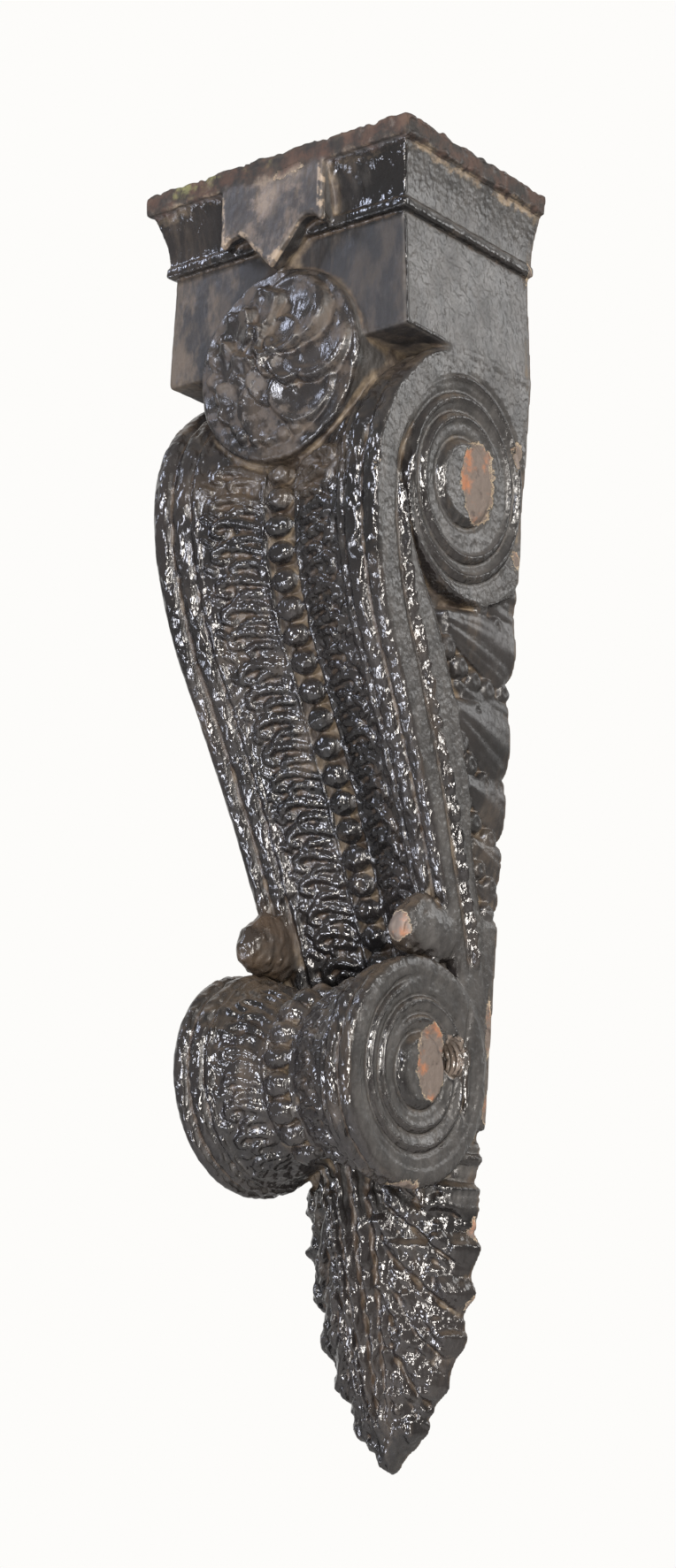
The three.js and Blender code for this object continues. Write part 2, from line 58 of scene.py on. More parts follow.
# Field of the casting
# The corbel is one sand casting of grey iron, so its surface is taken from one field of
# distances in millimetres, negative inside the iron. Each form of the pattern is added to
# it in turn, and neighbouring forms run together as they do under thick paint.
pitch = 0.96
grid_low = np.array([-76.0, -112.0, -553.0])
grid_high = np.array([76.0, 3.0, 9.0])
steps = np.ceil((grid_high - grid_low) / pitch).astype(int) + 1
xs, ys, zs = [(grid_low[axis] + pitch * np.arange(steps[axis])).astype(np.float32) for axis in range(3)]
all_x, all_y, all_z = xs[:, None, None], ys[None, :, None], zs[None, None, :]
far = np.float32(9.0)
field = np.full(steps, far, np.float32)


def smooth_min(first, second, reach):
    overlap = np.maximum(reach - np.abs(first - second), 0) / reach
    return np.minimum(first, second) - overlap * overlap * reach / 4


def smooth_max(first, second, reach):
    return -smooth_min(-first, -second, reach)


def window(low, high):
    spans = []
    for axis, line in enumerate((xs, ys, zs)):
        start = int(np.searchsorted(line, low[axis]))
        stop = int(np.searchsorted(line, high[axis], side="right"))
        spans.append(slice(max(start, 0), stop))
    return tuple(spans)


def axes_in(spans):
    return xs[spans[0]][:, None, None], ys[spans[1]][None, :, None], zs[spans[2]][None, None, :]


def add_form(low, high, form, reach):
    spans = window(low, high)
    distance = np.clip(form(*axes_in(spans)), -far, far).astype(np.float32)
    field[spans] = smooth_min(field[spans], distance, reach)


def part_of_side(values, y, z):
    """The part of a map of the plane of symmetry that lies beside a block of the grid."""
    first_y, first_z = np.searchsorted(ys, y[0, 0, 0]), np.searchsorted(zs, z[0, 0, 0])
    return values[None, first_y:first_y + y.size, first_z:first_z + z.size]


def ramp(value, start, end):
    share = np.clip((value - start) / (end - start), 0, 1)
    return share * share * (3 - 2 * share)


def upsampled(coarse, axis, line, spacing):
    position = (line - line[0]) / spacing
    cell = np.minimum(position.astype(int), coarse.shape[axis] - 2)
    share = (position - cell).astype(np.float32)
    share = share * share * (3 - 2 * share)
    shape = [1] * coarse.ndim
    shape[axis] = len(line)
    share = share.reshape(shape)
    return np.take(coarse, cell, axis) * (1 - share) + np.take(coarse, cell + 1, axis) * share


def lumps(spacing, seed, lines=(xs, ys, zs)):
    """Smooth random relief between -1 and 1, with hills about twice the spacing apart."""
    draw = np.random.default_rng(seed)
    counts = [int((line[-1] - line[0]) / spacing) + 3 for line in lines]
    coarse = draw.uniform(-1, 1, counts).astype(np.float32)
    for axis, line in enumerate(lines):
        coarse = upsampled(coarse, axis, line, spacing)
    return coarse


def ridge_along(first, second, path):
    """Height of a half-round ridge through points of (first, second, radius, crest)."""
    height = np.float32(-99)
    for (a0, b0, r0, crest0), (a1, b1, r1, crest1) in zip(path, path[1:]):
        run_a, run_b = a1 - a0, b1 - b0
        share = ((first - a0) * run_a + (second - b0) * run_b) / max(run_a ** 2 + run_b ** 2, 1e-6)
        share = np.clip(share, 0, 1)
        radius = r0 + (r1 - r0) * share
        gap = np.hypot(first - a0 - share * run_a, second - b0 - share * run_b) / radius
        fall = 0.8 * radius * (1 - np.sqrt(np.clip(1 - gap ** 2, 0, None)))
        fall = fall + 2.5 * radius * np.clip(gap - 1, 0, None)
        height = np.maximum(height, crest0 + (crest1 - crest0) * share - fall)
    return height


# Cornice and block
# The moulded top: a slab with a cove and a small fillet under it, on a plain block.
# The pattern maker cut it square, and rust has eaten the slab's edge.
slab_top = 5.2
rust_loss = 1.0
slab_half_width, slab_depth, slab_thickness = 72.6, 102.2, 10.4
block_half_width, block_depth, block_drop = 63.6, 90.8, 90.2
fillet_drops = (33.8, 38.8)


def cornice_block(x, y, z):
    drop = slab_top - z
    side, front = np.abs(x), -y

    def course(first, last, proud_side, proud_front, edge):
        plan = smooth_max(side - block_half_width - proud_side, front - block_depth - proud_front, edge)
        return smooth_max(plan, np.maximum(first - drop, drop - last), edge)

    proud_side, proud_front = slab_half_width - block_half_width, slab_depth - block_depth
    slab = course(rust_loss, slab_thickness, proud_side, proud_front, 1.5)
    fall = np.clip((drop - slab_thickness) / (fillet_drops[0] - slab_thickness), 0, 1)
    share = 0.2 + 0.56 * (1 - np.sin(fall * math.pi / 2))
    cove = course(slab_thickness - 3, fillet_drops[0] + 1, share * proud_side, share * proud_front, 1)
    fillet = course(*fillet_drops, 3.0, 3.4, 1.5)
    block = course(0, block_drop, 1.8 * ramp(drop, 40, 88), 0, 1.8)
    return smooth_min(np.minimum(slab, block), np.minimum(cove, fillet), 1)


add_form((-76, -106, -86.5), (76, 3, 9), cornice_block, 1)

# Shield
# A plain heraldic shield stands on the middle of the cornice, flush with the slab. Its
# underside slopes back to the block and its paint is worn to the cream primer.
half_shield = [
    (28.2, 0), (28.2, 36.5), (26.6, 37.6), (23.6, 34.6), (18.6, 33.6), (15.2, 35.4), (8.5, 43.5), (0, 52.4),
]


def outline_distance(points, across, down):
    """Distance to a closed outline, negative inside."""
    nearest = np.full(np.broadcast(across, down).shape, 1e9, np.float32)
    inside = np.zeros(nearest.shape, bool)
    for (x0, y0), (x1, y1) in zip(points, points[1:] + points[:1]):
        run, rise = x1 - x0, y1 - y0
        share = np.clip(((across - x0) * run + (down - y0) * rise) / (run * run + rise * rise), 0, 1)
        nearest = np.minimum(nearest, (across - x0 - share * run) ** 2 + (down - y0 - share * rise) ** 2)
        if rise:
            crosses = ((y0 > down) != (y1 > down)) & (across < run * (down - y0) / rise + x0)
            inside ^= crosses
    return np.where(inside, -1, 1) * np.sqrt(nearest)


def shield(x, y, z):
    outline = half_shield + [(-across, drop) for across, drop in reversed(half_shield[:-1])]
    flat = outline_distance(outline, x, slab_top - z)
    flat = np.maximum(flat, rust_loss - slab_top + z)
    return smooth_max(flat, np.maximum(-y - slab_depth - 0.2, y + block_depth - 3), 1.8)


add_form((-34, -105, -52), (34, -82, 6), shield, 1.2)

# Rosette
# A domed boss of overlapping ruffled petals round a small knot, inside a plain rounded
# rim. It was carved in the pattern and its edges have filled with paint.
boss_radius, boss_z = 43.0, slab_top - 94.6
rim_radius, rim_rise = 38.6, 4.6

# Each petal's turn from the top, reach, radius, rise, lean, number of ruffles and their depth.
# The petals on the right are broad and smooth, those on the left and at the top are ruffled.
outer_petals = [
    (0.42, 23.0, 17.5, 8.6, 2.0, 3, 0.015), (1.35, 23.5, 16.5, 8.0, 2.2, 3, 0.015),
    (2.3, 23.0, 14.5, 8.4, 2.4, 4, 0.03), (3.15, 21.5, 14.5, 8.8, 1.4, 3, 0.03),
    (3.95, 24.0, 11.5, 8.2, 2.6, 6, 0.08), (4.65, 24.5, 11.5, 9.0, 3.0, 7, 0.10),
    (5.35, 24.5, 11.5, 9.4, 2.6, 6, 0.10), (6.0, 25.0, 11.0, 9.4, 2.0, 5, 0.08),
]
inner_petals = [
    (0.7, 12.5, 9.0, 11.4, 2.0, 3, 0.04), (1.9, 12.5, 8.0, 11.8, 2.0, 4, 0.06),
    (3.1, 11.5, 8.6, 11.6, 1.4, 3, 0.05), (4.3, 13.0, 8.0, 12.0, 2.2, 5, 0.09),
    (5.5, 13.0, 8.2, 11.8, 2.0, 5, 0.08), (0.3, 5.0, 5.2, 13.4, 1.2, 3, 0.06),
    (2.4, 5.0, 5.0, 13.7, 1.2, 3, 0.06), (4.5, 5.0, 5.2, 13.3, 1.2, 3, 0.06),
]
pearls = [(-16, -30, 3.4), (-9, -32.5, 3.0), (-2, -33.5, 3.6), (6, -33, 3.0), (13, -31, 3.4)]
pearl_rise = 8.6


def petal_height(across, up_, turn, reach, radius, rise, lean, ruffles, depth):
    """Height of one cupped petal with a rolled edge, and a steep drop outside it."""
    out_x, out_z = math.sin(turn), math.cos(turn)
    along = across * out_x + up_ * out_z - reach
    sideways = across * out_z - up_ * out_x
    angle = np.arctan2(sideways, along)
    wave = np.cos(ruffles * angle + 4 * turn)
    share = np.hypot(along, sideways * 0.9) / (radius * (1 + depth * wave))
    cup = 1.1 * np.exp(-((share - 0.84) / 0.15) ** 2) - 0.8 * np.exp(-(share / 0.45) ** 2)
    vein = (0.2 + 9 * depth) * wave * np.clip(share, 0, 1)
    slope = lean * sideways / radius - 2.6 * np.clip(along / radius, -1, 1)
    return rise + cup + vein + slope - 11 * np.clip(share - 0.97, 0, None) / 0.25


def boss(x, y, z):
    across, up_ = x[:, :, 0], (z - boss_z)[0, 0, :][None, :]
    radius = np.hypot(across, up_)
    rim = rim_rise - 0.10 * np.clip(np.abs(radius - rim_radius) - 1.6, 0, None) ** 2
    bowl = 3.0 + 6.5 * np.clip(1 - (radius / 37) ** 2, 0, None)
    height = np.maximum(np.where(radius > 33.5, rim, -9), np.where(radius < 37.0, bowl, -9))
    for petal in outer_petals + inner_petals:
        height = smooth_max(height, petal_height(across, up_, *petal), 0.8)
    for pearl in pearls:
        height = np.maximum(height, ridge_along(across, up_, [(*pearl, pearl_rise)] * 2))
    lumpy = lumps(4.2, 31, (np.ravel(x), np.ravel(z)))
    height = height + 0.3 * lumpy
    face = -y - block_depth - height[:, None, :]
    wall = radius[:, None, :] - boss_radius
    return smooth_max(np.maximum(face * 0.75, y + 50), wall, 1.6)


add_form((-45, -111, boss_z - 45), (45, -48, boss_z + 45), boss, 1.2)

# Scroll
# The S scroll tapers downwards. Its front is a sunk panel between two rolls on each
# side, and its side faces carry the spiral of the upper volute and a flat band.
scroll_top_drop, scroll_height, scroll_depth, scroll_end_drop = 90.2, 352.2, 103.4, 414
half_width_high, half_width_low = 65.6, 45.9
volute_y, volute_drop, volute_radius = -48.1, 395.2, 47.2
front_shares = [
    (0.30, -0.03), (0.44, -0.012), (0.64, 0.006), (0.797, 0.041), (0.92, 0.086), (0.987, 0.139),
    (1.0, 0.193), (0.978, 0.254), (0.882, 0.343), (0.746, 0.419), (0.537, 0.541),
    (0.383, 0.645), (0.28, 0.715), (0.193, 0.8), (0.135, 0.88), (0.13, 0.93),
]


def half_width_at(z):
    drop = slab_top - z
    fall = (drop - scroll_top_drop) / (volute_drop - scroll_top_drop)
    return half_width_high + (half_width_low - half_width_high) * fall


def smooth_curve(points, samples):
    """A Catmull-Rom curve through points of two coordinates, with even steps."""
    points = np.array(points, float)
    padded = np.vstack([2 * points[0] - points[1], points, 2 * points[-1] - points[-2]])
    pieces = []
    for index in range(len(points) - 1):
        p0, p1, p2, p3 = padded[index:index + 4]
        t = np.linspace(0, 1, 40, endpoint=False)[:, None]
        pieces.append(0.5 * (2 * p1 + (p2 - p0) * t + (2 * p0 - 5 * p1 + 4 * p2 - p3) * t ** 2
                             + (3 * p1 - p0 - 3 * p2 + p3) * t ** 3))
    dense = np.vstack(pieces + [points[-1:]])
    length = np.concatenate([[0], np.cumsum(np.hypot(*np.diff(dense, axis=0).T))])
    even = np.linspace(0, length[-1], samples)
    return np.column_stack([np.interp(even, length, dense[:, 0]), np.interp(even, length, dense[:, 1])]), even


scroll_top = slab_top - scroll_top_drop
front_points = [(-depth * scroll_depth, scroll_top - fall * scroll_height) for depth, fall in front_shares]
front_line, front_length = smooth_curve(front_points, 520)
tangent = np.gradient(front_line, axis=0)
tangent /= np.hypot(tangent[:, 0], tangent[:, 1])[:, None]
inward = np.column_stack([-tangent[:, 1], tangent[:, 0]])

# For each point of the plane of symmetry: how far it lies behind the front edge, and where
# along that edge its nearest point is
flat_y, flat_z = np.meshgrid(ys, zs, indexing="ij")
behind = np.full(flat_y.shape, -far, np.float32)
along_front = np.zeros(flat_y.shape, np.float32)
for column in range(len(zs)):
    z = zs[column]
    if z > -70 or z < -425:
        continue
    gap = np.hypot(ys[:, None] - front_line[None, :, 0], z - front_line[None, :, 1])
    nearest = gap.argmin(axis=1)
    offset = np.column_stack([ys, np.full(len(ys), z)]) - front_line[nearest]
    behind[:, column] = (offset * inward[nearest]).sum(axis=1)
    along_front[:, column] = front_length[nearest] + (offset * tangent[nearest]).sum(axis=1)

# Front panel
# Beads run down the middle in a channel, with a pair of curled leaflets for each bead on
# either side, all cast in the bottom of the panel.
bead_first_drop, bead_count = 141.5, 19
bead_pitch_high, bead_pitch_low = 13.1, 11.5
bead_radius, bead_bottom = 6.9, 14.2
panel_step, share_step, widest_share = 0.5, 0.008, 1.06

# Depth of the bare panel by its share of the half-width: channel, leaf bed and two rolls
border_profile = [
    (0, 15), (0.118, 15), (0.128, 12.6), (0.145, 11.9), (0.17, 12.8), (0.3, 10.6), (0.45, 8.0),
    (0.58, 5.6), (0.615, 4.6), (0.63, 3.2), (0.66, 2.9), (0.675, 4.2), (0.69, 3.4), (0.705, 2.0),
    (0.735, 1.1), (0.77, 0.9), (0.805, 1.5), (0.825, 2.8), (0.842, 3.6), (0.858, 3.0), (0.872, 1.2),
    (0.9, 0.2), (0.93, 0), (0.965, 0.3), (0.99, 1.2), (1.0, 2.2), (1.05, 5),
]

# Half a leaflet pair: across, along, radius and rise of each point of its curled fingers, drawn
# for the widest part of the panel and narrowed with it
leaflet_root, leaflet_first, leaflet_tip = 10.2, 10.5, 38.5
fingers = [
    [(10.5, -0.8, 1.8, 1.2), (15, -2.6, 2.1, 2.6), (22, -4.8, 2.3, 3.0), (29, -5.2, 2.2, 3.0),
     (33.5, -3.0, 2.0, 2.6), (34, 0.2, 1.8, 2.4), (30.5, 1.6, 1.7, 2.6)],
    [(11.5, 3.6, 1.6, 1.0), (16, 2.0, 1.8, 2.4), (22, 1.6, 1.9, 2.8), (26, 3.4, 1.8, 2.6),
     (25, 5.8, 1.6, 2.2)],
    [(35.5, 4.6, 1.7, 1.6), (38.5, 2.4, 1.6, 1.8)],
]


def bead_stations(first, count, pitch_first, pitch_last):
    return first + np.concatenate([[0], np.cumsum(np.linspace(pitch_first, pitch_last, count - 1))])


def panel_map(stations, length, half_width_of, seed, bead_length=0.9):
    """Depth of the panel's surface over (share of the half-width, place along the front)."""
    shares = np.arange(-widest_share, widest_share + 0.0001, share_step)
    places = np.arange(0, length + panel_step, panel_step)
    profile = np.interp(np.abs(shares), *zip(*border_profile))
    depth = np.repeat(profile[:, None], len(places), axis=1)
    half_width = half_width_of(places)[None, :]
    across = shares[:, None] * half_width
    draw = np.random.default_rng(seed)
    for index, station in enumerate(stations):
        near = np.abs(places - station) < 16
        local_place = places[near][None, :] - station
        local_across = across[:, near]
        local_depth = depth[:, near]
        radius = bead_radius * draw.uniform(0.95, 1.05)
        spread = (local_across / radius) ** 2 + (local_place / (radius * bead_length)) ** 2
        bead = bead_bottom - radius * 0.95 * np.sqrt(np.clip(1 - spread, 0, None))
        local_depth = np.where(spread < 1, smooth_min(local_depth, bead, 0.5), local_depth)
        size = float(np.interp(station, places, half_width_of(places))) / half_width_high
        for side in (-1, 1):
            for finger in fingers:
                drift, swell = draw.uniform(-0.9, 0.9), draw.uniform(0.85, 1.15)
                turn = draw.uniform(-0.06, 0.06)
                ridge = []
                for x0, s0, radius, rise in finger:
                    reach = (x0 - leaflet_first) / (leaflet_tip - leaflet_first)
                    out = leaflet_root + reach * (leaflet_tip * size - leaflet_root)
                    base = np.interp(out / (size * half_width_high), *zip(*border_profile))
                    rise *= np.interp(size, (0.7, 0.95), (0.6, 1.0))
                    ridge.append((side * out, s0 + drift + turn * x0, radius * swell, rise - base))
                ridge = -ridge_along(local_across, local_place, ridge)
                local_depth = smooth_min(local_depth, ridge, 0.7)
        depth[:, near] = local_depth
    return shares, places, depth.astype(np.float32)


def sampled(shares, places, depth, share, place):
    """The map's value at arrays of shares and places, between its own points."""
    column = np.clip((share - shares[0]) / (shares[1] - shares[0]), 0, len(shares) - 1.001)
    row = np.clip((place - places[0]) / (places[1] - places[0]), 0, len(places) - 1.001)
    i, j = column.astype(int), row.astype(int)
    a, b = column - i, row - j
    return ((depth[i, j] * (1 - a) + depth[i + 1, j] * a) * (1 - b)
            + (depth[i, j + 1] * (1 - a) + depth[i + 1, j + 1] * a) * b)


bead_start = float(np.interp(-bead_first_drop + slab_top, front_line[::-1, 1], front_length[::-1]))
front_map = panel_map(
    bead_stations(bead_start, bead_count, bead_pitch_high, bead_pitch_low), front_length[-1],
    lambda places: half_width_at(np.interp(places, front_length, front_line[:, 1])), 11)

# Side faces
# The band follows the front edge with a bumpy ridge along its middle, and rolls up into the
# spiral of the upper volute. Behind it the web is sunk and filled with acanthus lobes.
unit = 64.0
disc_radius, web_sink = 46.0, 6.5
side_relief = np.zeros(flat_y.shape, np.float32)
drop_map = slab_top - flat_z


def from_photo_z(value):
    return unit * value - 199.472


band_width = np.interp(drop_map, [150, 166, 185, 205, 237, 269, 300, 330], [14, 21, 27, 33, 33, 30, 24, 21])
disc_y, disc_z = -36.1, slab_top - 150.0
disc_gap = np.hypot(flat_y - disc_y, flat_z - disc_z) - disc_radius
web = ramp(behind - band_width, -0.4, 1.8) * ramp(disc_gap, -0.6, 1.6) * ramp(drop_map, 120, 160)
web *= 1 - ramp(drop_map, 318, 330)
side_relief -= web_sink * web

def moulding(across, *parts):
    """The sum of rounded ridges and grooves, each of (height, place, half-width)."""
    return sum(height * np.exp(-((across - place) / half_width) ** 2) for height, place, half_width in parts)


def spiral(radius, turn, radii, last_turn, *parts):
    """A moulding wound inwards, whose radius is given for each quarter of a turn."""
    relief = np.zeros(radius.shape, np.float32)
    for whole_turns in range(3):
        turned = turn + whole_turns
        gap = (radius - np.interp(turned, np.arange(len(radii)) / 4, radii)) * unit
        relief += moulding(gap, *parts) * ramp(last_turn - turned, 0, 0.16) * ramp(turned, 0, 0.1)
    return relief


# Bumpy ridge in the middle of the band, with a groove before it
ridge_half_width, ridge_rise = 1.9, 2.6
ridge_offset = np.interp(flat_z, from_photo_z(np.array([-2.2, -1.0, 0.0, 1.0])), [12.5, 16.3, 19.0, 19.4])
bumps = lumps(2.6, 5, (ys, zs))
band_part = ramp(drop_map, 140, 152) * (1 - ramp(drop_map, 345, 352))
ridge = moulding(behind - ridge_offset, (ridge_rise + 1.3 * bumps, 0, ridge_half_width), (-1.3, -3.8, 1.4))
side_relief += ridge * band_part

# Spiral of the upper volute, from the left and over the top, and its raised eye
eye_y, eye_z, eye_share = -43.8, from_photo_z(0.918), 0.285
polar_radius = np.hypot(flat_y - eye_y, flat_z - eye_z) / unit
polar_turn = (0.5 - np.arctan2(flat_z - eye_z, flat_y - eye_y) / math.tau) % 1
radii_high = [0.72, 0.70, 0.61, 0.63, 0.56, 0.56, 0.50, 0.50, 0.44, 0.43, 0.38]
on_disc = 1 - ramp(disc_gap - 9 * ramp(flat_z, eye_z - 12, eye_z + 4), -4.5, -1.5)
on_disc = on_disc * ramp(-drop_map, -205, -190)
side_relief += on_disc * spiral(polar_radius, polar_turn, radii_high, 2.45, (1.6, 0, 1.6), (-1.0, 3.2, 1.4))
eye_gap = (polar_radius - eye_share) * unit
side_relief += 2.2 * (1 - ramp(eye_gap, -3.0, 0.6)) + moulding(eye_gap, (-1.2, 1.6, 1.4))


# Acanthus leaves in the sunk web, each a fan of broad fingers from its stem to the wall with a
# row of round curls along its lower edge. Points are (y, z) in the photograph's units, then
# radius and crest over the web in millimetres.
web_leaves = [
    [[(-0.46, 0.36, 3.5, 4.0), (-0.22, 0.33, 6.0, 5.5), (0.0, 0.30, 8.0, 6.0)],
     [(-0.44, 0.26, 3.2, 4.0), (-0.22, 0.19, 5.6, 5.0), (0.0, 0.13, 7.0, 5.5)]],
    [[(-0.73, 0.02, 2.6, 5.0), (-0.40, 0.03, 6.5, 6.6), (0.0, -0.04, 10.0, 7.2)],
     [(-0.72, -0.03, 2.4, 4.6), (-0.40, -0.08, 5.6, 6.2), (0.0, -0.16, 9.0, 6.8)],
     [(-0.70, -0.08, 2.4, 4.4), (-0.44, -0.17, 4.4, 5.4), (-0.12, -0.27, 6.4, 6.0)]],
    [[(-0.52, -0.40, 2.4, 3.5), (-0.28, -0.45, 5.0, 5.0), (0.0, -0.50, 7.0, 5.6)],
     [(-0.46, -0.46, 2.4, 3.0), (-0.22, -0.55, 4.2, 4.6), (-0.04, -0.60, 5.4, 5.0)]],
    [[(-0.62, -0.54, 2.6, 5.0), (-0.36, -0.59, 6.4, 6.8), (0.0, -0.69, 10.0, 7.4)],
     [(-0.61, -0.58, 2.4, 4.6), (-0.34, -0.69, 5.6, 6.4), (0.0, -0.82, 9.0, 7.0)],
     [(-0.58, -0.63, 2.4, 4.4), (-0.38, -0.76, 4.4, 5.6), (-0.10, -0.92, 6.4, 6.2)]],
    [[(-0.46, -1.01, 2.4, 4.4), (-0.26, -1.05, 5.6, 6.4), (0.0, -1.11, 9.0, 7.0)],
     [(-0.44, -1.06, 2.4, 4.2), (-0.24, -1.14, 5.0, 6.0), (0.0, -1.25, 8.0, 6.6)]],
    [[(-0.28, -1.40, 2.2, 4.2), (-0.14, -1.44, 4.4, 5.8), (0.0, -1.48, 6.6, 6.4)],
     [(-0.26, -1.45, 2.2, 4.0), (-0.12, -1.53, 3.8, 5.4), (0.0, -1.60, 5.6, 6.0)]],
    [[(-0.18, -1.68, 2.0, 4.0), (-0.08, -1.72, 3.6, 5.4), (0.0, -1.76, 5.0, 6.0)]],
]
web_curls = [
    (-0.38, 0.15, 4.4), (-0.20, 0.07, 3.8), (-0.70, -0.19, 5.2), (-0.55, -0.29, 5.0), (-0.40, -0.35, 4.4),
    (-0.24, -0.38, 4.8), (-0.07, -0.36, 4.0), (-0.36, -0.54, 3.2), (-0.62, -0.69, 4.6), (-0.50, -0.79, 5.4),
    (-0.38, -0.91, 5.0), (-0.22, -1.00, 4.4), (-0.06, -0.99, 3.8), (-0.41, -1.17, 4.4), (-0.29, -1.28, 4.6),
    (-0.12, -1.36, 4.4), (-0.21, -1.58, 3.8), (-0.08, -1.67, 3.6), (-0.10, -1.84, 3.4),
]
web_z = flat_z - from_photo_z(0)
lobe_relief = np.full(flat_y.shape, -3, np.float32)
for leaf in web_leaves:
    for finger in leaf:
        path = [(y * unit, z * unit, radius, crest) for y, z, radius, crest in finger]
        lobe_relief = smooth_max(lobe_relief, ridge_along(flat_y, web_z, path), 4.5)
for y, z, radius in web_curls:
    path = [(y * unit, z * unit, radius, 6.8), (y * unit + 1.5, z * unit - 0.5, 0.9 * radius, 6.2)]
    lobe_relief = smooth_max(lobe_relief, ridge_along(flat_y, web_z, path), 0.6)
    ring = np.hypot(flat_y - y * unit, web_z - z * unit)
    lobe_relief -= 1.6 * np.exp(-(ring / (0.45 * radius)) ** 2)
side_relief += np.clip(lobe_relief, 0, None) * web

# Lower volute: rings about its eye, the flat outer band and the seam where the scroll passes it
low_z, low_eye_share = slab_top - volute_drop, 0.235
low_radius = np.hypot(flat_y - volute_y, flat_z - low_z) / unit
low_turn = (np.arctan2(flat_z - low_z, flat_y - volute_y) / math.tau - 0.25) % 1
radii_low = [0.60, 0.55, 0.52, 0.50, 0.485, 0.43, 0.40, 0.385, 0.37, 0.33, 0.30]
volute_relief = spiral(low_radius, low_turn, radii_low, 2.2, (1.0, -2.6, 1.6), (-1.2, 0, 1.2))
low_eye_gap = (low_radius - low_eye_share) * unit
volute_relief += 2.4 * (1 - ramp(low_eye_gap, -3.0, 0.6)) + moulding(low_eye_gap, (-1.0, 1.4, 1.2))
volute_relief += 0.7 * ramp(low_radius, 0.61, 0.63)
seam = moulding(flat_y + 17.3 - 0.0009 * (flat_z + 375) ** 2, (2.0, 0, 1.2))
volute_relief -= seam * ramp(drop_map, 342, 352) * (1 - ramp(drop_map, 408, 414))


def rolled(panel, share, deep, place, side):
    """Distance to a front with its panel cast in it, between side faces."""
    share, deep, place = np.broadcast_arrays(share, deep, place)
    close = (deep > -7) & (deep < 22)
    front = np.where(deep < 0, far, -far)
    front[close] = sampled(*panel, share[close], place[close]) - deep[close]
    return smooth_max(front * 0.85, side, 1.2)


def scroll(x, y, z):
    half_width = half_width_at(z)
    deep, place, relief = [part_of_side(values, y, z) for values in (behind, along_front, side_relief)]
    body = rolled(front_map, x / half_width, deep, place, np.abs(x) - half_width - relief)
    ends = np.maximum(z - (scroll_top + 3), (slab_top - scroll_end_drop) - z)
    return smooth_max(body, ends, 1.5)


add_form((-72, -108, -412), (72, 3, -78), scroll, 1.6)

# Neck
# Plain metal behind the rosette closes the panel up to the foot of the block.
neck_half_width, neck_depth = 43, 76


def neck(x, y, z):
    slope = 0.5 * np.clip(boss_z + 10 - z, 0, None)
    return np.maximum(np.maximum(np.abs(x) - neck_half_width, slope - y - neck_depth), boss_z - 38 - z)


add_form((-46, -82, boss_z - 45), (46, 0, -78), neck, 2)

# Lower volute
# The end of the scroll is a full roll in front of the band, with the same rolls, beads
# and leaflets carried round it.
volute_proud = 0.6
volute_stations = bead_stations(math.radians(101) * volute_radius, 9, 14.6, 15.2)
volute_map = panel_map(
    volute_stations, math.tau * volute_radius,
    lambda places: half_width_at(low_z + volute_radius * np.sin(places / volute_radius)), 23, 1.15)


def volute(x, y, z):
    out_y, out_z = y - volute_y, z - low_z
    place = (np.arctan2(out_z, out_y) % math.tau) * volute_radius
    half_width = half_width_at(z) + volute_proud
    side = np.abs(x) - half_width - part_of_side(volute_relief, y, z)
    return rolled(volute_map, x / half_width, volute_radius - np.hypot(out_y, out_z), place, side)


add_form((-58, -100, low_z - 52), (58, 3, low_z + 52), volute, 1.0)

# Husk buds
# Two husks fill the crevice between the band and the lower volute, one at each side.
bud_z = from_photo_z(-2.03)
# Inset from the side, y, rise and three half sizes of the balls that make up a husk
bud_balls = [(8.6, -42, 1, 8.2, 12, 13.5), (9, -51, -2, 7.2, 8.5, 9.5), (7, -34, -2, 8, 10, 12)]


def buds(x, y, z):
    half_width = float(half_width_at(bud_z))
    total = None
    for inset, ball_y, rise, size_x, size_y, size_z in bud_balls:
        spread = np.sqrt(((np.abs(x) - half_width + inset) / size_x) ** 2 + ((y - ball_y) / size_y) ** 2
                         + ((z - bud_z - rise) / size_z) ** 2)
        ball = (spread - 1) * min(size_x, size_y, size_z)
        total = ball if total is None else smooth_min(total, ball, 3)
    return total


add_form((-60, -78, bud_z - 24), (60, -18, bud_z + 22), buds, 2.5)

# Pendant leaf
# A pointed acanthus leaf hangs against the wall below the volute: a ribbed stem, and lobes
# that slant down and out from it to a ruffled edge.
leaf_top_drop, leaf_height, leaf_half_width = 435.0, 119.4, 42.0
leaf_depth_top, leaf_depth_tip = 40.0, 12.0
leaf_spans = window((-50, -60, -553), (50, 3, -385))
leaf_x, leaf_y, leaf_z = axes_in(leaf_spans)
leaf_share = np.clip((slab_top - leaf_z - leaf_top_drop) / leaf_height, 0, 1)
narrow = np.clip(1 - leaf_share ** 3, 0.02, 1)
lobe_pitch, lobe_first = 19.0, 8.0
leaf_fall = slab_top - leaf_z - leaf_top_drop
ruffle = 1.5 * np.cos((leaf_fall - lobe_first) / lobe_pitch * math.tau)
ruffle = ruffle + 1.3 * lumps(3.0, 62, (zs[leaf_spans[2]],))
leaf_reach = leaf_half_width * narrow + ruffle * ramp(narrow, 0.05, 0.3)
side_share = np.clip(np.abs(leaf_x) / leaf_reach, 0, 1.2)
fullness = np.clip(1 - side_share ** 1.4, 0, 1) ** (1 / 1.4)

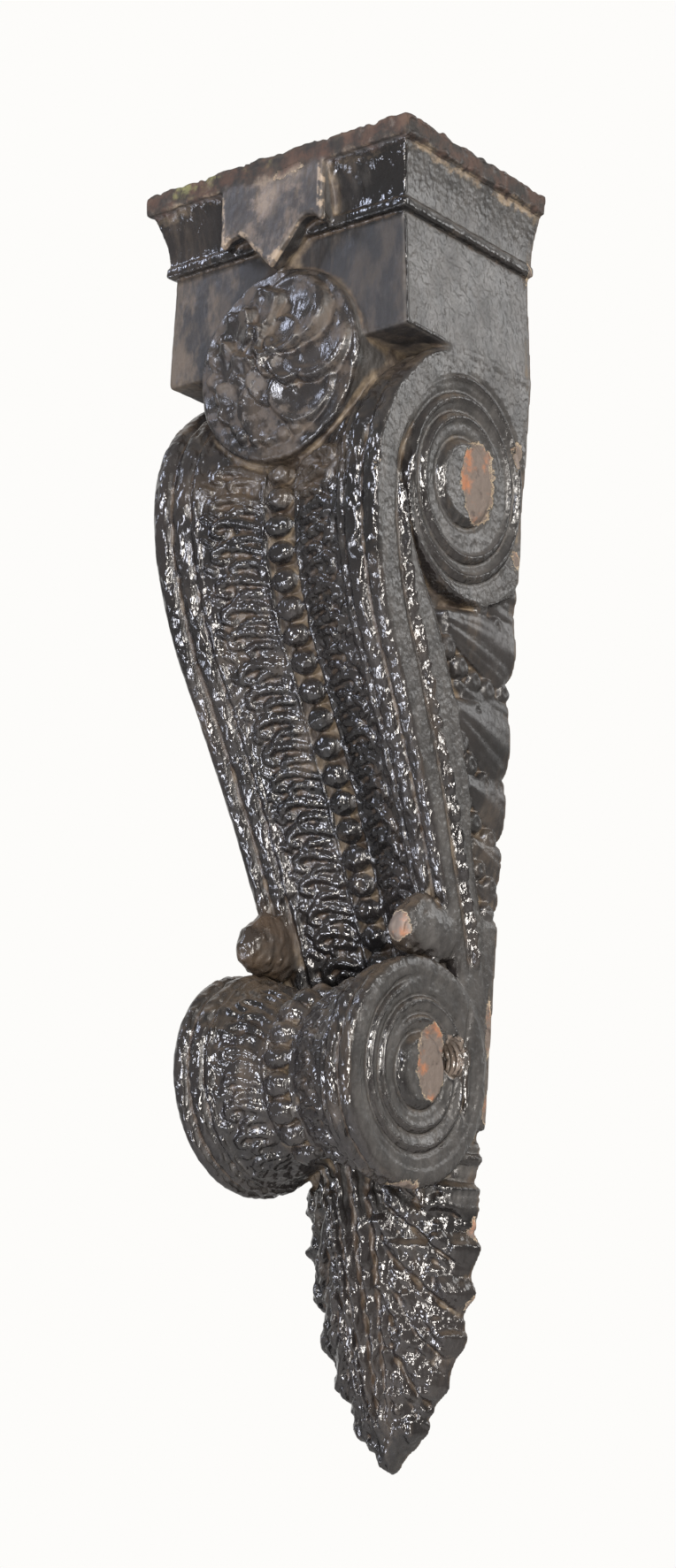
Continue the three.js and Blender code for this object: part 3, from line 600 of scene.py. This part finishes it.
# Seen flat, each lobe is a broad finger between two narrow ones, run down and out from the stem
flat_x, flat_fall = leaf_x[:, :, 0], leaf_fall[0, 0][None, :]
leaf_relief = np.full(np.broadcast(flat_x, flat_fall).shape, -2.2, np.float32)
leaf_draw = np.random.default_rng(67)
leaf_fingers = [(-1, 2.3, 1.6), (0, 3.6, 4.4), (1, 2.5, 2.6)]
leaf_curls = [
    [(34, -8, 3.4, 2.0), (42, 1, 3.6, 4.6), (39, 9, 3.4, 5.4), (31, 9, 3.2, 5.2), (29, 3, 2.6, 4.4)],
    [(14, 66, 1.8, 2.6), (20, 78, 2.0, 3.6), (26, 84, 2.0, 3.2)],
    [(12, 44, 1.8, 2.6), (17, 58, 2.0, 3.8), (20, 66, 2.0, 3.0)],
    [(13, 14, 1.8, 2.4), (19, 30, 2.0, 3.4), (27, 40, 2.0, 3.0)],
]
leaf_ribs = [(0, 2.7, 3.8), (6.8, 2.4, 3.2), (12.8, 2.0, 2.4)]
for side in (-1, 1):
    for lobe in range(-1, 7):
        for finger, radius, crest in leaf_fingers:
            end_fall = lobe_first + lobe * lobe_pitch + 6.2 * finger + leaf_draw.uniform(-1.2, 1.2)
            narrow_end = 1 - min(max(end_fall / leaf_height, 0), 0.97) ** 3
            narrow_stem = 1 - min(max((end_fall - 24) / leaf_height, 0), 0.95) ** 3
            reach_x = leaf_half_width * narrow_end
            stem_x = 11 * narrow_stem
            bow = 0.6 * reach_x + 0.4 * stem_x
            path = [
                (side * stem_x, end_fall - 30, 1.8, 0.0),
                (side * bow, end_fall - 10 - finger, 0.8 * radius, 0.6 * crest),
                (side * 0.96 * reach_x, end_fall, radius, crest),
            ]
            leaf_relief = smooth_max(leaf_relief, ridge_along(flat_x, flat_fall, path), 0.7)
    for curl in leaf_curls:
        path = [(side * x0, s0, radius, crest) for x0, s0, radius, crest in curl]
        leaf_relief = smooth_max(leaf_relief, ridge_along(flat_x, flat_fall, path), 0.7)
flat_narrow = narrow[0, 0][None, :]
for rib_x, radius, crest in leaf_ribs:
    rib_gap = (np.abs(flat_x) - rib_x * flat_narrow) / (radius * (0.35 + 0.65 * flat_narrow))
    rib = crest * (1.8 * np.exp(-rib_gap ** 2) - 0.8) * ramp(leaf_height - flat_fall, 6, 30)
    leaf_relief = smooth_max(leaf_relief, rib, 0.6)
leaf_lumps = lumps(3.3, 61, (xs[leaf_spans[0]], zs[leaf_spans[2]]))
leaf_relief = (leaf_relief + 1.5 * leaf_lumps)[:, None, :]
leaf_depth = (leaf_depth_top + (leaf_depth_tip - leaf_depth_top) * leaf_share) * narrow ** 0.35 * fullness
surface = leaf_depth + leaf_relief * ramp(fullness, 0.0, 0.32)
leaf_distance = smooth_max(-leaf_y - surface, np.abs(leaf_x) - leaf_reach, 2.5)
leaf_distance = smooth_max(leaf_distance * 0.8, leaf_fall - leaf_height, 3)
leaf_distance = np.maximum(leaf_distance, leaf_z - (slab_top - volute_drop - 8))
leaf_distance = np.clip(leaf_distance, -far, far).astype(np.float32)
field[leaf_spans] = smooth_min(field[leaf_spans], leaf_distance, 1.5)

# Skin of the casting
# Sand left the iron slightly uneven, and many coats of paint have run into soft beads,
# most of all on the front.
on_front = ramp(half_width_at(all_z) - np.abs(all_x), 0.6, 3.0) * ramp(-all_z, 92, 100)
on_front = on_front * (1 - 0.75 * (np.hypot(all_x, all_z - boss_z) < boss_radius + 3))
beading = 0.32 + 0.26 * ramp(-all_z, 325, 345)
drips = lumps(2.3, 75) * (1 - on_front)
drips += lumps(2.3, 71, (xs, ys, 0.55 * zs)) * on_front
drips = 0.34 * drips + 0.20 * lumps(4.6, 72)
field += drips * (beading + 1.30 * on_front)
slab_part = ramp(all_z, -6.5, -4)
field += 0.5 * slab_part * (lumps(2.2, 73) + lumps(4.1, 74))
del drips, on_front

# Hollow back
# The casting is cored out from behind, with walls of about 9 mm, thicker round the tapped hole.
field = np.maximum(field, all_y)
hollow_levels = [(-5.4, 54.6, 81.7), (-75.8, 54.6, 81.7), (-75.9, 54.6, 40.6), (-88.4, 54.6, 40.6),
                 (-150, 46.4, 79.6), (-206, 43.4, 63.6), (-262.6, 39.8, 35.6)]
levels_z, levels_x, levels_y = np.array(hollow_levels)[::-1].T
hollow_width, hollow_depth = np.interp(all_z, levels_z, levels_x), np.interp(all_z, levels_z, levels_y)
hollow = np.maximum(np.abs(all_x) - hollow_width, -all_y - hollow_depth)
hollow = np.maximum(hollow, np.maximum(all_z - levels_z[-1], levels_z[0] - all_z))
chamber_z, chamber_radius, chamber_half_height, chamber_half_width = -381, 23.2, 19.6, 31.4
chamber = np.hypot(all_y - volute_y, all_z - chamber_z) - chamber_radius
chamber = np.where(all_y > volute_y, -9, chamber)
chamber = np.maximum(chamber, np.abs(all_z - chamber_z) - chamber_half_height)
chamber = np.maximum(chamber, np.abs(all_x) - chamber_half_width)
field = smooth_max(field, -np.clip(np.minimum(hollow, chamber), -far, far), 1.2).astype(np.float32)
del hollow, chamber

# Tapped hole
# A 5/8 inch hole with its thread, drilled in the right side beside the lower volute's eye.
hole_y, hole_z, hole_radius = -25.6, from_photo_z(-2.85), 7.8
thread_pitch, thread_depth = 2.6, 0.9
spans = window((34, -40, hole_z - 12), (62, -12, hole_z + 12))
x, y, z = axes_in(spans)
thread = thread_depth * np.cos(x / thread_pitch * math.tau)
hole = np.hypot(y - hole_y, z - hole_z) - hole_radius - thread
field[spans] = smooth_max(field[spans], -np.clip(hole, -far, far), 0.8)

# Surface of the field
# The skin is meshed where the field is zero, one point to each cell that it crosses.
cell_corners = [(a, b, c) for a in (0, 1) for b in (0, 1) for c in (0, 1)]
round_edge = [(0, 0), (-1, 0), (-1, -1), (0, -1)]


def surface_of(values):
    inside = values < 0
    corners = np.zeros([count - 1 for count in values.shape], np.uint8)
    for a, b, c in cell_corners:
        corners += inside[a:a + corners.shape[0], b:b + corners.shape[1], c:c + corners.shape[2]]
    active = (corners > 0) & (corners < 8)
    i, j, k = np.nonzero(active)
    number = np.full(active.shape, -1, np.int32)
    number[active] = np.arange(len(i))
    total = np.zeros((len(i), 3), np.float32)
    hits = np.zeros(len(i), np.float32)
    for start in cell_corners:
        for axis in range(3):
            if start[axis]:
                continue
            end = list(start)
            end[axis] = 1
            first = values[i + start[0], j + start[1], k + start[2]]
            second = values[i + end[0], j + end[1], k + end[2]]
            crosses = (first < 0) != (second < 0)
            share = np.where(crosses, first / np.where(crosses, first - second, 1), 0)
            spot = np.array(start, np.float32)[None, :].repeat(len(i), 0)
            spot[:, axis] = share
            total += spot * crosses[:, None]
            hits += crosses
    points = np.column_stack([i, j, k]) + total / hits[:, None]
    quads = []
    for axis in range(3):
        near = [slice(1, -1)] * 3
        near[axis] = slice(0, -1)
        next_ = list(near)
        next_[axis] = slice(1, None)
        first, second = inside[tuple(near)], inside[tuple(next_)]
        place = np.argwhere(first != second)
        place += [0 if a == axis else 1 for a in range(3)]
        u, v = [a for a in range(3) if a != axis]
        ring = []
        for step_u, step_v in round_edge:
            cell = place.copy()
            cell[:, u] += step_u
            cell[:, v] += step_v
            ring.append(number[tuple(cell.T)])
        ring = np.column_stack(ring)
        outward = inside[tuple(place.T)]
        flip = ~outward if axis != 1 else outward
        ring[flip] = ring[flip][:, ::-1]
        quads.append(ring)
    return points, np.vstack(quads)


def at_points(values, points):
    """The values between the grid's own points."""
    base = np.clip(np.floor(points).astype(int), 0, np.array(values.shape) - 2)
    share = (points - base).astype(np.float32)
    result = np.zeros(len(points), np.float32)
    for corner in cell_corners:
        weight = np.prod(np.where(corner, share, 1 - share), axis=1)
        result += weight * values[tuple((base + corner).T)]
    return result


points, quads = surface_of(field)
probe_step = 0.6
normals = np.column_stack([
    at_points(field, points + probe) - at_points(field, points - probe) for probe in probe_step * np.eye(3)])
normals /= np.maximum(np.hypot(np.hypot(normals[:, 0], normals[:, 1]), normals[:, 2]), 1e-6)[:, None]


def blurred(values, radius):
    """Mean over a cube of the given radius in grid steps."""
    for axis in range(3):
        sums = values.cumsum(axis, dtype=np.float64)
        sums = np.concatenate([np.zeros_like(np.take(values, [0], axis)), sums], axis)
        count = values.shape[axis]
        upper = np.clip(np.arange(count) + radius + 1, 0, count)
        lower = np.clip(np.arange(count) - radius, 0, count)
        total = np.take(sums, upper, axis) - np.take(sums, lower, axis)
        values = (total / (2 * radius + 1)).astype(np.float32)
    return values


# How much iron lies round each point: above a half in a crevice, below it on an edge
solid = np.clip(0.5 - field / pitch, 0, 1)
solid[:, ys > 0, :] = 1
crevice_near, crevice_wide = [
    at_points(blurred(solid, round(reach / pitch)), points + normals * lift / pitch)
    for reach, lift in ((2.5, 0.3), (6.5, 0.6))]
del solid

# Where the skin belongs to the leaves of the web
nearest_cell = np.clip(np.rint(points[:, 1:]).astype(int), 0, np.array(web.shape) - 1)
web_part = web[nearest_cell[:, 0], nearest_cell[:, 1]].astype(np.float32)

positions = (grid_low + points * pitch) / 1000

# Painted iron
# Grey cast iron under many coats of black oil gloss: IOR 1.5, no metal left to see, and
# a sharp, uneven shine. The coats have an orange peel of 2 to 4 mm.


def linear(hex_colour):
    channels = [int(hex_colour[i:i + 2], 16) / 255 for i in (0, 2, 4)]
    return [c / 12.92 if c <= 0.04045 else ((c + 0.055) / 1.055) ** 2.4 for c in channels] + [1.0]


painted_iron = bpy.data.materials.new("painted_iron")
painted_iron.use_nodes = True
iron_tree = painted_iron.node_tree
iron_tree.nodes.clear()
mode_settings = {
    "Math": "operation", "VectorMath": "operation", "MapRange": "interpolation_type",
    "Mix": "data_type", "TexNoise": "noise_dimensions", "Attribute": "attribute_name",
}


def add(kind, mode=None, *values, tree=iron_tree, **named):
    """Add a node in its mode, with a number, hex colour or link for each open input in turn."""
    node = tree.nodes.new("ShaderNode" + kind)
    if mode:
        setattr(node, mode_settings[kind], mode)
    open_inputs = [socket for socket in node.inputs if socket.enabled]
    pairs = list(zip(open_inputs, values)) + [(node.inputs[name], value) for name, value in named.items()]
    for socket, value in pairs:
        if isinstance(value, bpy.types.NodeSocket):
            tree.links.new(value, socket)
        else:
            socket.default_value = linear(value) if isinstance(value, str) else value
    return next((socket for socket in node.outputs if socket.enabled), None)


def where(*parts):
    """A mask, the product of its parts: masks, numbers, and values eased from one level to another.

    A value given as (place, scale, detail, roughness) is noise.
    """
    mask = None
    for part in parts:
        if isinstance(part, tuple):
            value, *levels = part
            if isinstance(value, tuple):
                value = add("TexNoise", "3D", *value)
            part = add("MapRange", "SMOOTHSTEP", value, *levels)
        mask = part if mask is None else add("Math", "MULTIPLY", mask, part)
    return mask


place = add("TexCoord").node.outputs["Object"]
face = add("SeparateXYZ", None, add("TexCoord").node.outputs["Normal"]).node.outputs
spot = add("SeparateXYZ", None, place).node.outputs
near, wide, leafy = [
    add("Attribute", name).node.outputs["Fac"] for name in ("crevice_near", "crevice_wide", "leafy")]
runs = add("Mapping", None, place, Scale=(1, 1, 0.45))
streaks = add("Mapping", None, place, Scale=(1, 1, 0.2))
specks = add("TexNoise", "3D", place, 170, 4, 0.62)
clouds = add("TexNoise", "3D", place, 45, 5, 0.6)

# Parts of the corbel that are painted or worn in their own way: the flat sides, which carry a
# painted grey sheen standing for the light they reflect, the front of the block, the shield and the rosette
turned = add("Math", "ABSOLUTE", face[0])
sideways = where(
    (turned, 0.66, 0.92), (near, 0.30, 0.42), (leafy, 0.0, 1.0, 1.0, 0.15), (spot[2], -0.446, -0.436))
block = where(
    (spot[2], -0.034, -0.038), (spot[2], -0.094, -0.090), (spot[1], -0.0945, -0.0925), (turned, 0.97, 0.80))
on_shield = where((spot[1], -0.0990, -0.1006), (spot[2], -0.054, -0.050))
dull = add("Math", "MAXIMUM", where(block, 0.85), where(on_shield, 0.7))
on_boss = where((add("VectorMath", "DISTANCE", place, (0, -0.100, -0.0894)), 0.046, 0.040))

# Brown dirt in the crevices and on ledges
dirt = where((add("Math", "MULTIPLY_ADD", clouds, 0.30, wide), 0.710, 0.825))
in_cracks = where((add("Math", "MULTIPLY_ADD", specks, 0.22, near), 0.665, 0.790))
ledge = where((face[2], 0.25, 0.85), (clouds, 0.35, 0.6))
boss_dirt = where(on_boss, ((place, 85, 5, 0.68), 0.46, 0.62))
from_left_bud = add("VectorMath", "DISTANCE", place, (-0.050, -0.046, -0.329))

# Places where the paint has come away lie round uneven points, so that their edges are ragged
warp = add("TexNoise", "3D", place, 110, 6, 0.68).node.outputs["Color"]
warp = add("VectorMath", "SCALE", add("VectorMath", "SUBTRACT", warp, (0.5, 0.5, 0.5)), 0.012)
uneven_place = add("VectorMath", "ADD", place, warp)
ragged = add("SeparateXYZ", None, uneven_place).node.outputs


def patch(centre, radii):
    """Negative inside a ragged patch with the given centre and radii, in millimetres."""
    from_centre = add("VectorMath", "SUBTRACT", uneven_place, [value / 1000 for value in centre])
    scaled = add("VectorMath", "MULTIPLY", from_centre, [1000 / value for value in radii])
    past_edge = add("Math", "SUBTRACT", add("VectorMath", "LENGTH", scaled), 1.0)
    return add("Math", "MULTIPLY", past_edge, min(radii))


chips = [
    ((66, -35.5, -139), (12, 14.0, 19.0)), ((47, -43, -386), (10, 10.5, 15.5)),
    ((41, -60, -330), (6.5, 4.6, 7)), ((66, -7.5, -118), (5, 4.0, 7)),
    ((64, -4.5, -163.5), (5, 3.0, 4.5)), ((47, -2.5, -366), (5, 2.5, 12)),
    ((46, -1.5, -401), (5, 2.5, 6)), ((44, -51, -436), (9, 7.5, 2.4)), ((40, -1.5, -450), (5, 2.2, 4)),
    ((37, -1.0, -478), (5, 1.8, 3)), ((64, -104, -155), (4.0, 4.6, 10.5)), ((60.5, -95, -218), (5, 6, 1.6)),
    ((9, -103, -5.5), (8, 3, 2.2)), ((69, -2.5, -33), (5, 2.2, 8)),
]
bare_field = patch(*chips[0])
for chip in chips[1:]:
    bare_field = add("Math", "MINIMUM", bare_field, patch(*chip))
primer = where((bare_field, 0.32, 0.02), (clouds, 0.30, 0.46, 0.25, 1.0))
bare = where((bare_field, 0.0, -0.35))
slab_rust = where((ragged[2], -0.0078, -0.0035), (specks, 0.25, 0.45))
from_slab_edge = add("Math", "ABSOLUTE", add("Math", "ADD", ragged[2], 0.0072))
tapped = patch((44, -25.6, -381.9), (22, 8.8, 8.8))

# Brown dust lies thick behind the beads on top of the lower volute, and under the rosette
on_volute = where((patch((0, -62, -339), (44, 27, 15)), 4.0, -6.0))
under_boss = where((patch((0, -100, -141), (46, 16, 13)), 4.0, -6.0), 0.6)
settled = where(add("Math", "MAXIMUM", on_volute, under_boss), (clouds, 0.30, 0.52, 0.25, 1.0))

# Colours that vary, each mixed from two
side_sheen_grey, dirt_colour, rust, slab_colour, colour = [
    add("Mix", "RGBA", where((pattern, low, high)), first, second) for pattern, low, high, first, second in (
        # The first pair is the grey of the painted sheen on the flat sides
        ((runs, 120, 5, 0.65), 0.32, 0.68, "2e2d2c", "454341"),
        ((place, 75, 5, 0.62), 0.40, 0.66, "30271f", "6c5f4d"),
        ((place, 65, 5, 0.68), 0.50, 0.64, "5a5049", "84573c"),
        ((place, 120, 5, 0.66), 0.38, 0.64, "1b1714", "3a281f"),
        ((place, 14, 4, 0.55), 0.35, 0.65, "151414", "262322"),
    )]
rust = add("Mix", "RGBA", where((specks, 0.56, 0.70, 0.0, 0.75)), rust, "2f2520")

# Each coat over the black paint, with where it lies, from the lowest up
coats = [
    # Black paint has run thin in places, and the flat sides carry a grey that is painted sheen, the light
    # they reflect
    ("3a3734", where(((runs, 90, 4, 0.6), 0.55, 0.75, 0.0, 0.5))),
    (side_sheen_grey, where(sideways, (clouds, 0.2, 0.7, 0.6, 1.0))),
    # Dirt has settled in cracks, on ledges and in hollows, and been washed down the front
    ("4a3d31", where(in_cracks, 0.62)),
    ("4c4237", where(ledge, 0.7)),
    (dirt_colour, where(dirt, 0.85)),
    ("5c5146", where(((streaks, 55, 5, 0.65), 0.53, 0.70), (sideways, 0.6, 0.1), 0.28)),
    ("4e4439", where(block, (spot[0], 0.04, -0.04, 0.25, 0.8), ((runs, 50, 5, 0.68), 0.45, 0.60))),
    # The shield is brown with dark blots, and chipped to its cream primer at the edges
    ("5c5147", where(on_shield, ((runs, 60, 5, 0.68), 0.40, 0.60, 0.1, 0.85))),
    ("211e1c", where(on_shield, ((place, 95, 5, 0.7), 0.43, 0.57, 0.0, 0.85))),
    ("958470", where(on_shield, (near, 0.42, 0.36), (specks, 0.46, 0.56), 0.6)),
    ("473d33", where(boss_dirt, 0.6)),
    ("40352b", where((from_left_bud, 0.026, 0.016), (clouds, 0.35, 0.55, 0.3, 0.9))),
    # Chips show rust and bare iron inside a broken cream edge
    ("ab9a83", primer),
    (rust, bare),
    # The slab's edge has rusted through, with green lichen on its left and pale dust under it
    (slab_colour, where(slab_rust, 0.92)),
    ("6c6b45", where((clouds, 0.50, 0.58), (ragged[2], -0.004, 0.002), (spot[0], 0.01, -0.02), 0.75)),
    ("93816a", where((from_slab_edge, 0.0024, 0.0004), ((place, 60, 5, 0.65), 0.42, 0.58),
                     (turned, 0.3, 0.7, 0.3, 1.0), 0.5)),
    ("8b7b6a", where((patch((2, -103, -17), (27, 5, 15)), 2.0, -6.0), (clouds, 0.42, 0.60), 0.32)),
    ("463b2f", where(settled, 0.85)),
    # The hole was drilled and tapped through the paint, so its thread is bare iron
    ("655b53", where((tapped, 0.4, -0.2), (bare_field, 0.0, 1.5))),
]
for coat, cover in coats:
    colour = add("Mix", "RGBA", cover, colour, coat)

# Shine: sharp where the front is clean, satin on the flat sides, dead in the dirt
soiled = where(add("Math", "MAXIMUM", in_cracks, ledge), 0.5)
soiled = add("Math", "MAXIMUM", add("Math", "MAXIMUM", dirt, soiled), where(settled, 0.9))
unpainted = add("Math", "MAXIMUM", add("Math", "MAXIMUM", primer, bare), slab_rust)
shine = where(((place, 60, 3, 0.55), 0.3, 0.7, 0.09, 0.20))
for mask, roughening in (
        (sideways, 0.20), (soiled, 0.40), (unpainted, 0.40), (dull, 0.52),
        (on_boss, (boss_dirt, 0.0, 0.8, 0.10, 0.42)), (leafy, 0.16)):
    shine = add("Math", "ADD", shine, where(mask, roughening))
shine = add("Math", "MINIMUM", shine, 0.9)

# The coats lie in an orange peel, deepest on the front, over fine grit and the step of each chip
smooth_parts = dull
for mask in (where(on_boss, 0.8), where(sideways, 0.85), where(leafy, 0.75)):
    smooth_parts = add("Math", "MAXIMUM", smooth_parts, mask)
side_parts = add("Math", "MAXIMUM", leafy, sideways)
peel = 0.0
for layer in (
        where(add("TexNoise", "3D", runs, 260, 1, 0.4), (smooth_parts, 0.0, 1.0, 1.0, 0.15)),
        where(add("TexNoise", "3D", place, 400, 1, 0.4), sideways, 0.5),
        where(add("TexNoise", "3D", runs, 260, 3, 0.6), (side_parts, 0.0, 1.0, 0.5, 0.15)),
        where(add("TexNoise", "3D", place, 420, 3, 0.6), 0.07),
        where((bare_field, 0.5, -0.3), -0.9)):
    peel = add("Math", "ADD", peel, layer)
bump = add("Bump", Strength=0.85, Distance=0.0013, Height=peel)
shader = add("BsdfPrincipled", None, colour, Metallic=0.0, Roughness=shine, IOR=1.52, Normal=bump)
add("OutputMaterial", None, shader)

# Skin pieces
# The one casting is kept as seven meshes that meet at common edges, from the cornice down
# to the pendant leaf. Together they stand for the solid casting.
quad_height = positions[quads[:, 0], 2]
cuts = [
    ("casting_cornice", -0.045, 0.1), ("casting_block", -0.1, -0.045), ("casting_scroll_high", -0.19, -0.1),
    ("casting_scroll_low", -0.32, -0.19), ("casting_volute_high", -0.385, -0.32),
    ("casting_volute_low", -0.44, -0.385), ("casting_leaf", -0.6, -0.44),
]
for name, lowest, highest in cuts:
    chosen = quads[(quad_height >= lowest) & (quad_height < highest)]
    used, local = np.unique(chosen, return_inverse=True)
    local = local.reshape(chosen.shape)
    mesh = bpy.data.meshes.new(name)
    mesh.vertices.add(len(used))
    mesh.vertices.foreach_set("co", positions[used].astype(np.float32).ravel())
    mesh.loops.add(local.size)
    mesh.loops.foreach_set("vertex_index", local.astype(np.int32).ravel())
    mesh.polygons.add(len(local))
    mesh.polygons.foreach_set("loop_start", np.arange(0, local.size, 4, dtype=np.int32))
    mesh.update(calc_edges=True)
    mesh.validate()
    mesh.polygons.foreach_set("use_smooth", np.ones(len(mesh.polygons), bool))
    mesh.normals_split_custom_set_from_vertices(normals[used].tolist())
    for attribute_name, values in (
            ("crevice_near", crevice_near), ("crevice_wide", crevice_wide), ("leafy", web_part)):
        attribute = mesh.attributes.new(attribute_name, "FLOAT", "POINT")
        attribute.data.foreach_set("value", values[used].astype(np.float32))
    mesh.materials.append(painted_iron)
    piece = bpy.data.objects.new(name, mesh)
    bpy.context.scene.collection.objects.link(piece)
    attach(piece, "root")
    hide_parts("corbel_casting")
    print(name, "triangles", 2 * len(local))

# Floor and light
# The corbel hangs over a plain pale floor and before a white backdrop, in a dimmer room, with
# soft lamps to the left, in front, below and to the right.
floor_mesh = bpy.data.meshes.new("studio_floor")
reach, floor_z = 12.0, -1.4
corners = [(-reach, -reach), (reach, -reach), (reach, reach), (-reach, reach)]
floor_mesh.from_pydata([(x, y, floor_z) for x, y in corners], [], [(0, 1, 2, 3)])
studio_paint = bpy.data.materials.new("studio_floor_paint")
studio_paint.use_nodes = True
studio_shader = studio_paint.node_tree.nodes["Principled BSDF"]
studio_shader.inputs["Base Color"].default_value = linear("c9c7c4")
studio_shader.inputs["Roughness"].default_value = 0.8
floor_mesh.materials.append(studio_paint)
floor = bpy.data.objects.new("studio_floor", floor_mesh)
bpy.context.scene.collection.objects.link(floor)

world = bpy.data.worlds.new("studio")
world.use_nodes = True
sky = world.node_tree
direction = add("TexCoord", tree=sky).node.outputs["Generated"]
towards = add("VectorMath", "DOT_PRODUCT", direction, (-0.60, 0.76, 0.24), tree=sky)
brightness = add("MapRange", "SMOOTHSTEP", towards, 0.45, 0.80, 0.36, 1.0, tree=sky)
backdrop = sky.nodes["Background"]
backdrop.inputs["Color"].default_value = linear("fdfcfa")
sky.links.new(brightness, backdrop.inputs["Strength"])
bpy.context.scene.world = world
bpy.context.scene.view_settings.view_transform = "Standard"

aim = Vector((0, -0.05, -0.27))
lamps = [
    ("lamp_left", (-1.05, -0.95, 0.80), 0.28, 7, "dfe7ff"),
    ("lamp_low_left", (-0.9, -1.2, -0.7), 0.22, 3.5, "e6ecff"),
    ("lamp_front", (0.65, -1.65, 0.30), 0.34, 19, "f2f4ff"),
    ("lamp_low", (-0.05, -1.55, -1.0), 0.30, 17, "f2f4ff"),
    ("lamp_low_right", (1.15, -1.15, -0.75), 0.28, 16, "fff9f2"),
    ("lamp_right", (1.40, -0.95, 0.10), 0.30, 28, "fff9f2"),
    ("lamp_far_right", (1.75, -0.10, 0.35), 0.30, 8, "fff9f2"),
    ("lamp_side", (1.0, 1.10, 0.5), 0.50, 5, "ffffff"),
]
for name, position, size, power, tint in lamps:
    data = bpy.data.lights.new(name, "AREA")
    data.shape = "RECTANGLE"
    data.size, data.size_y = size, size * 1.4
    data.energy = power
    data.color = linear(tint)[:3]
    lamp = bpy.data.objects.new(name, data)
    lamp.location = position
    lamp.rotation_euler = (aim - Vector(position)).to_track_quat("-Z", "Y").to_euler()
    bpy.context.scene.collection.objects.link(lamp)
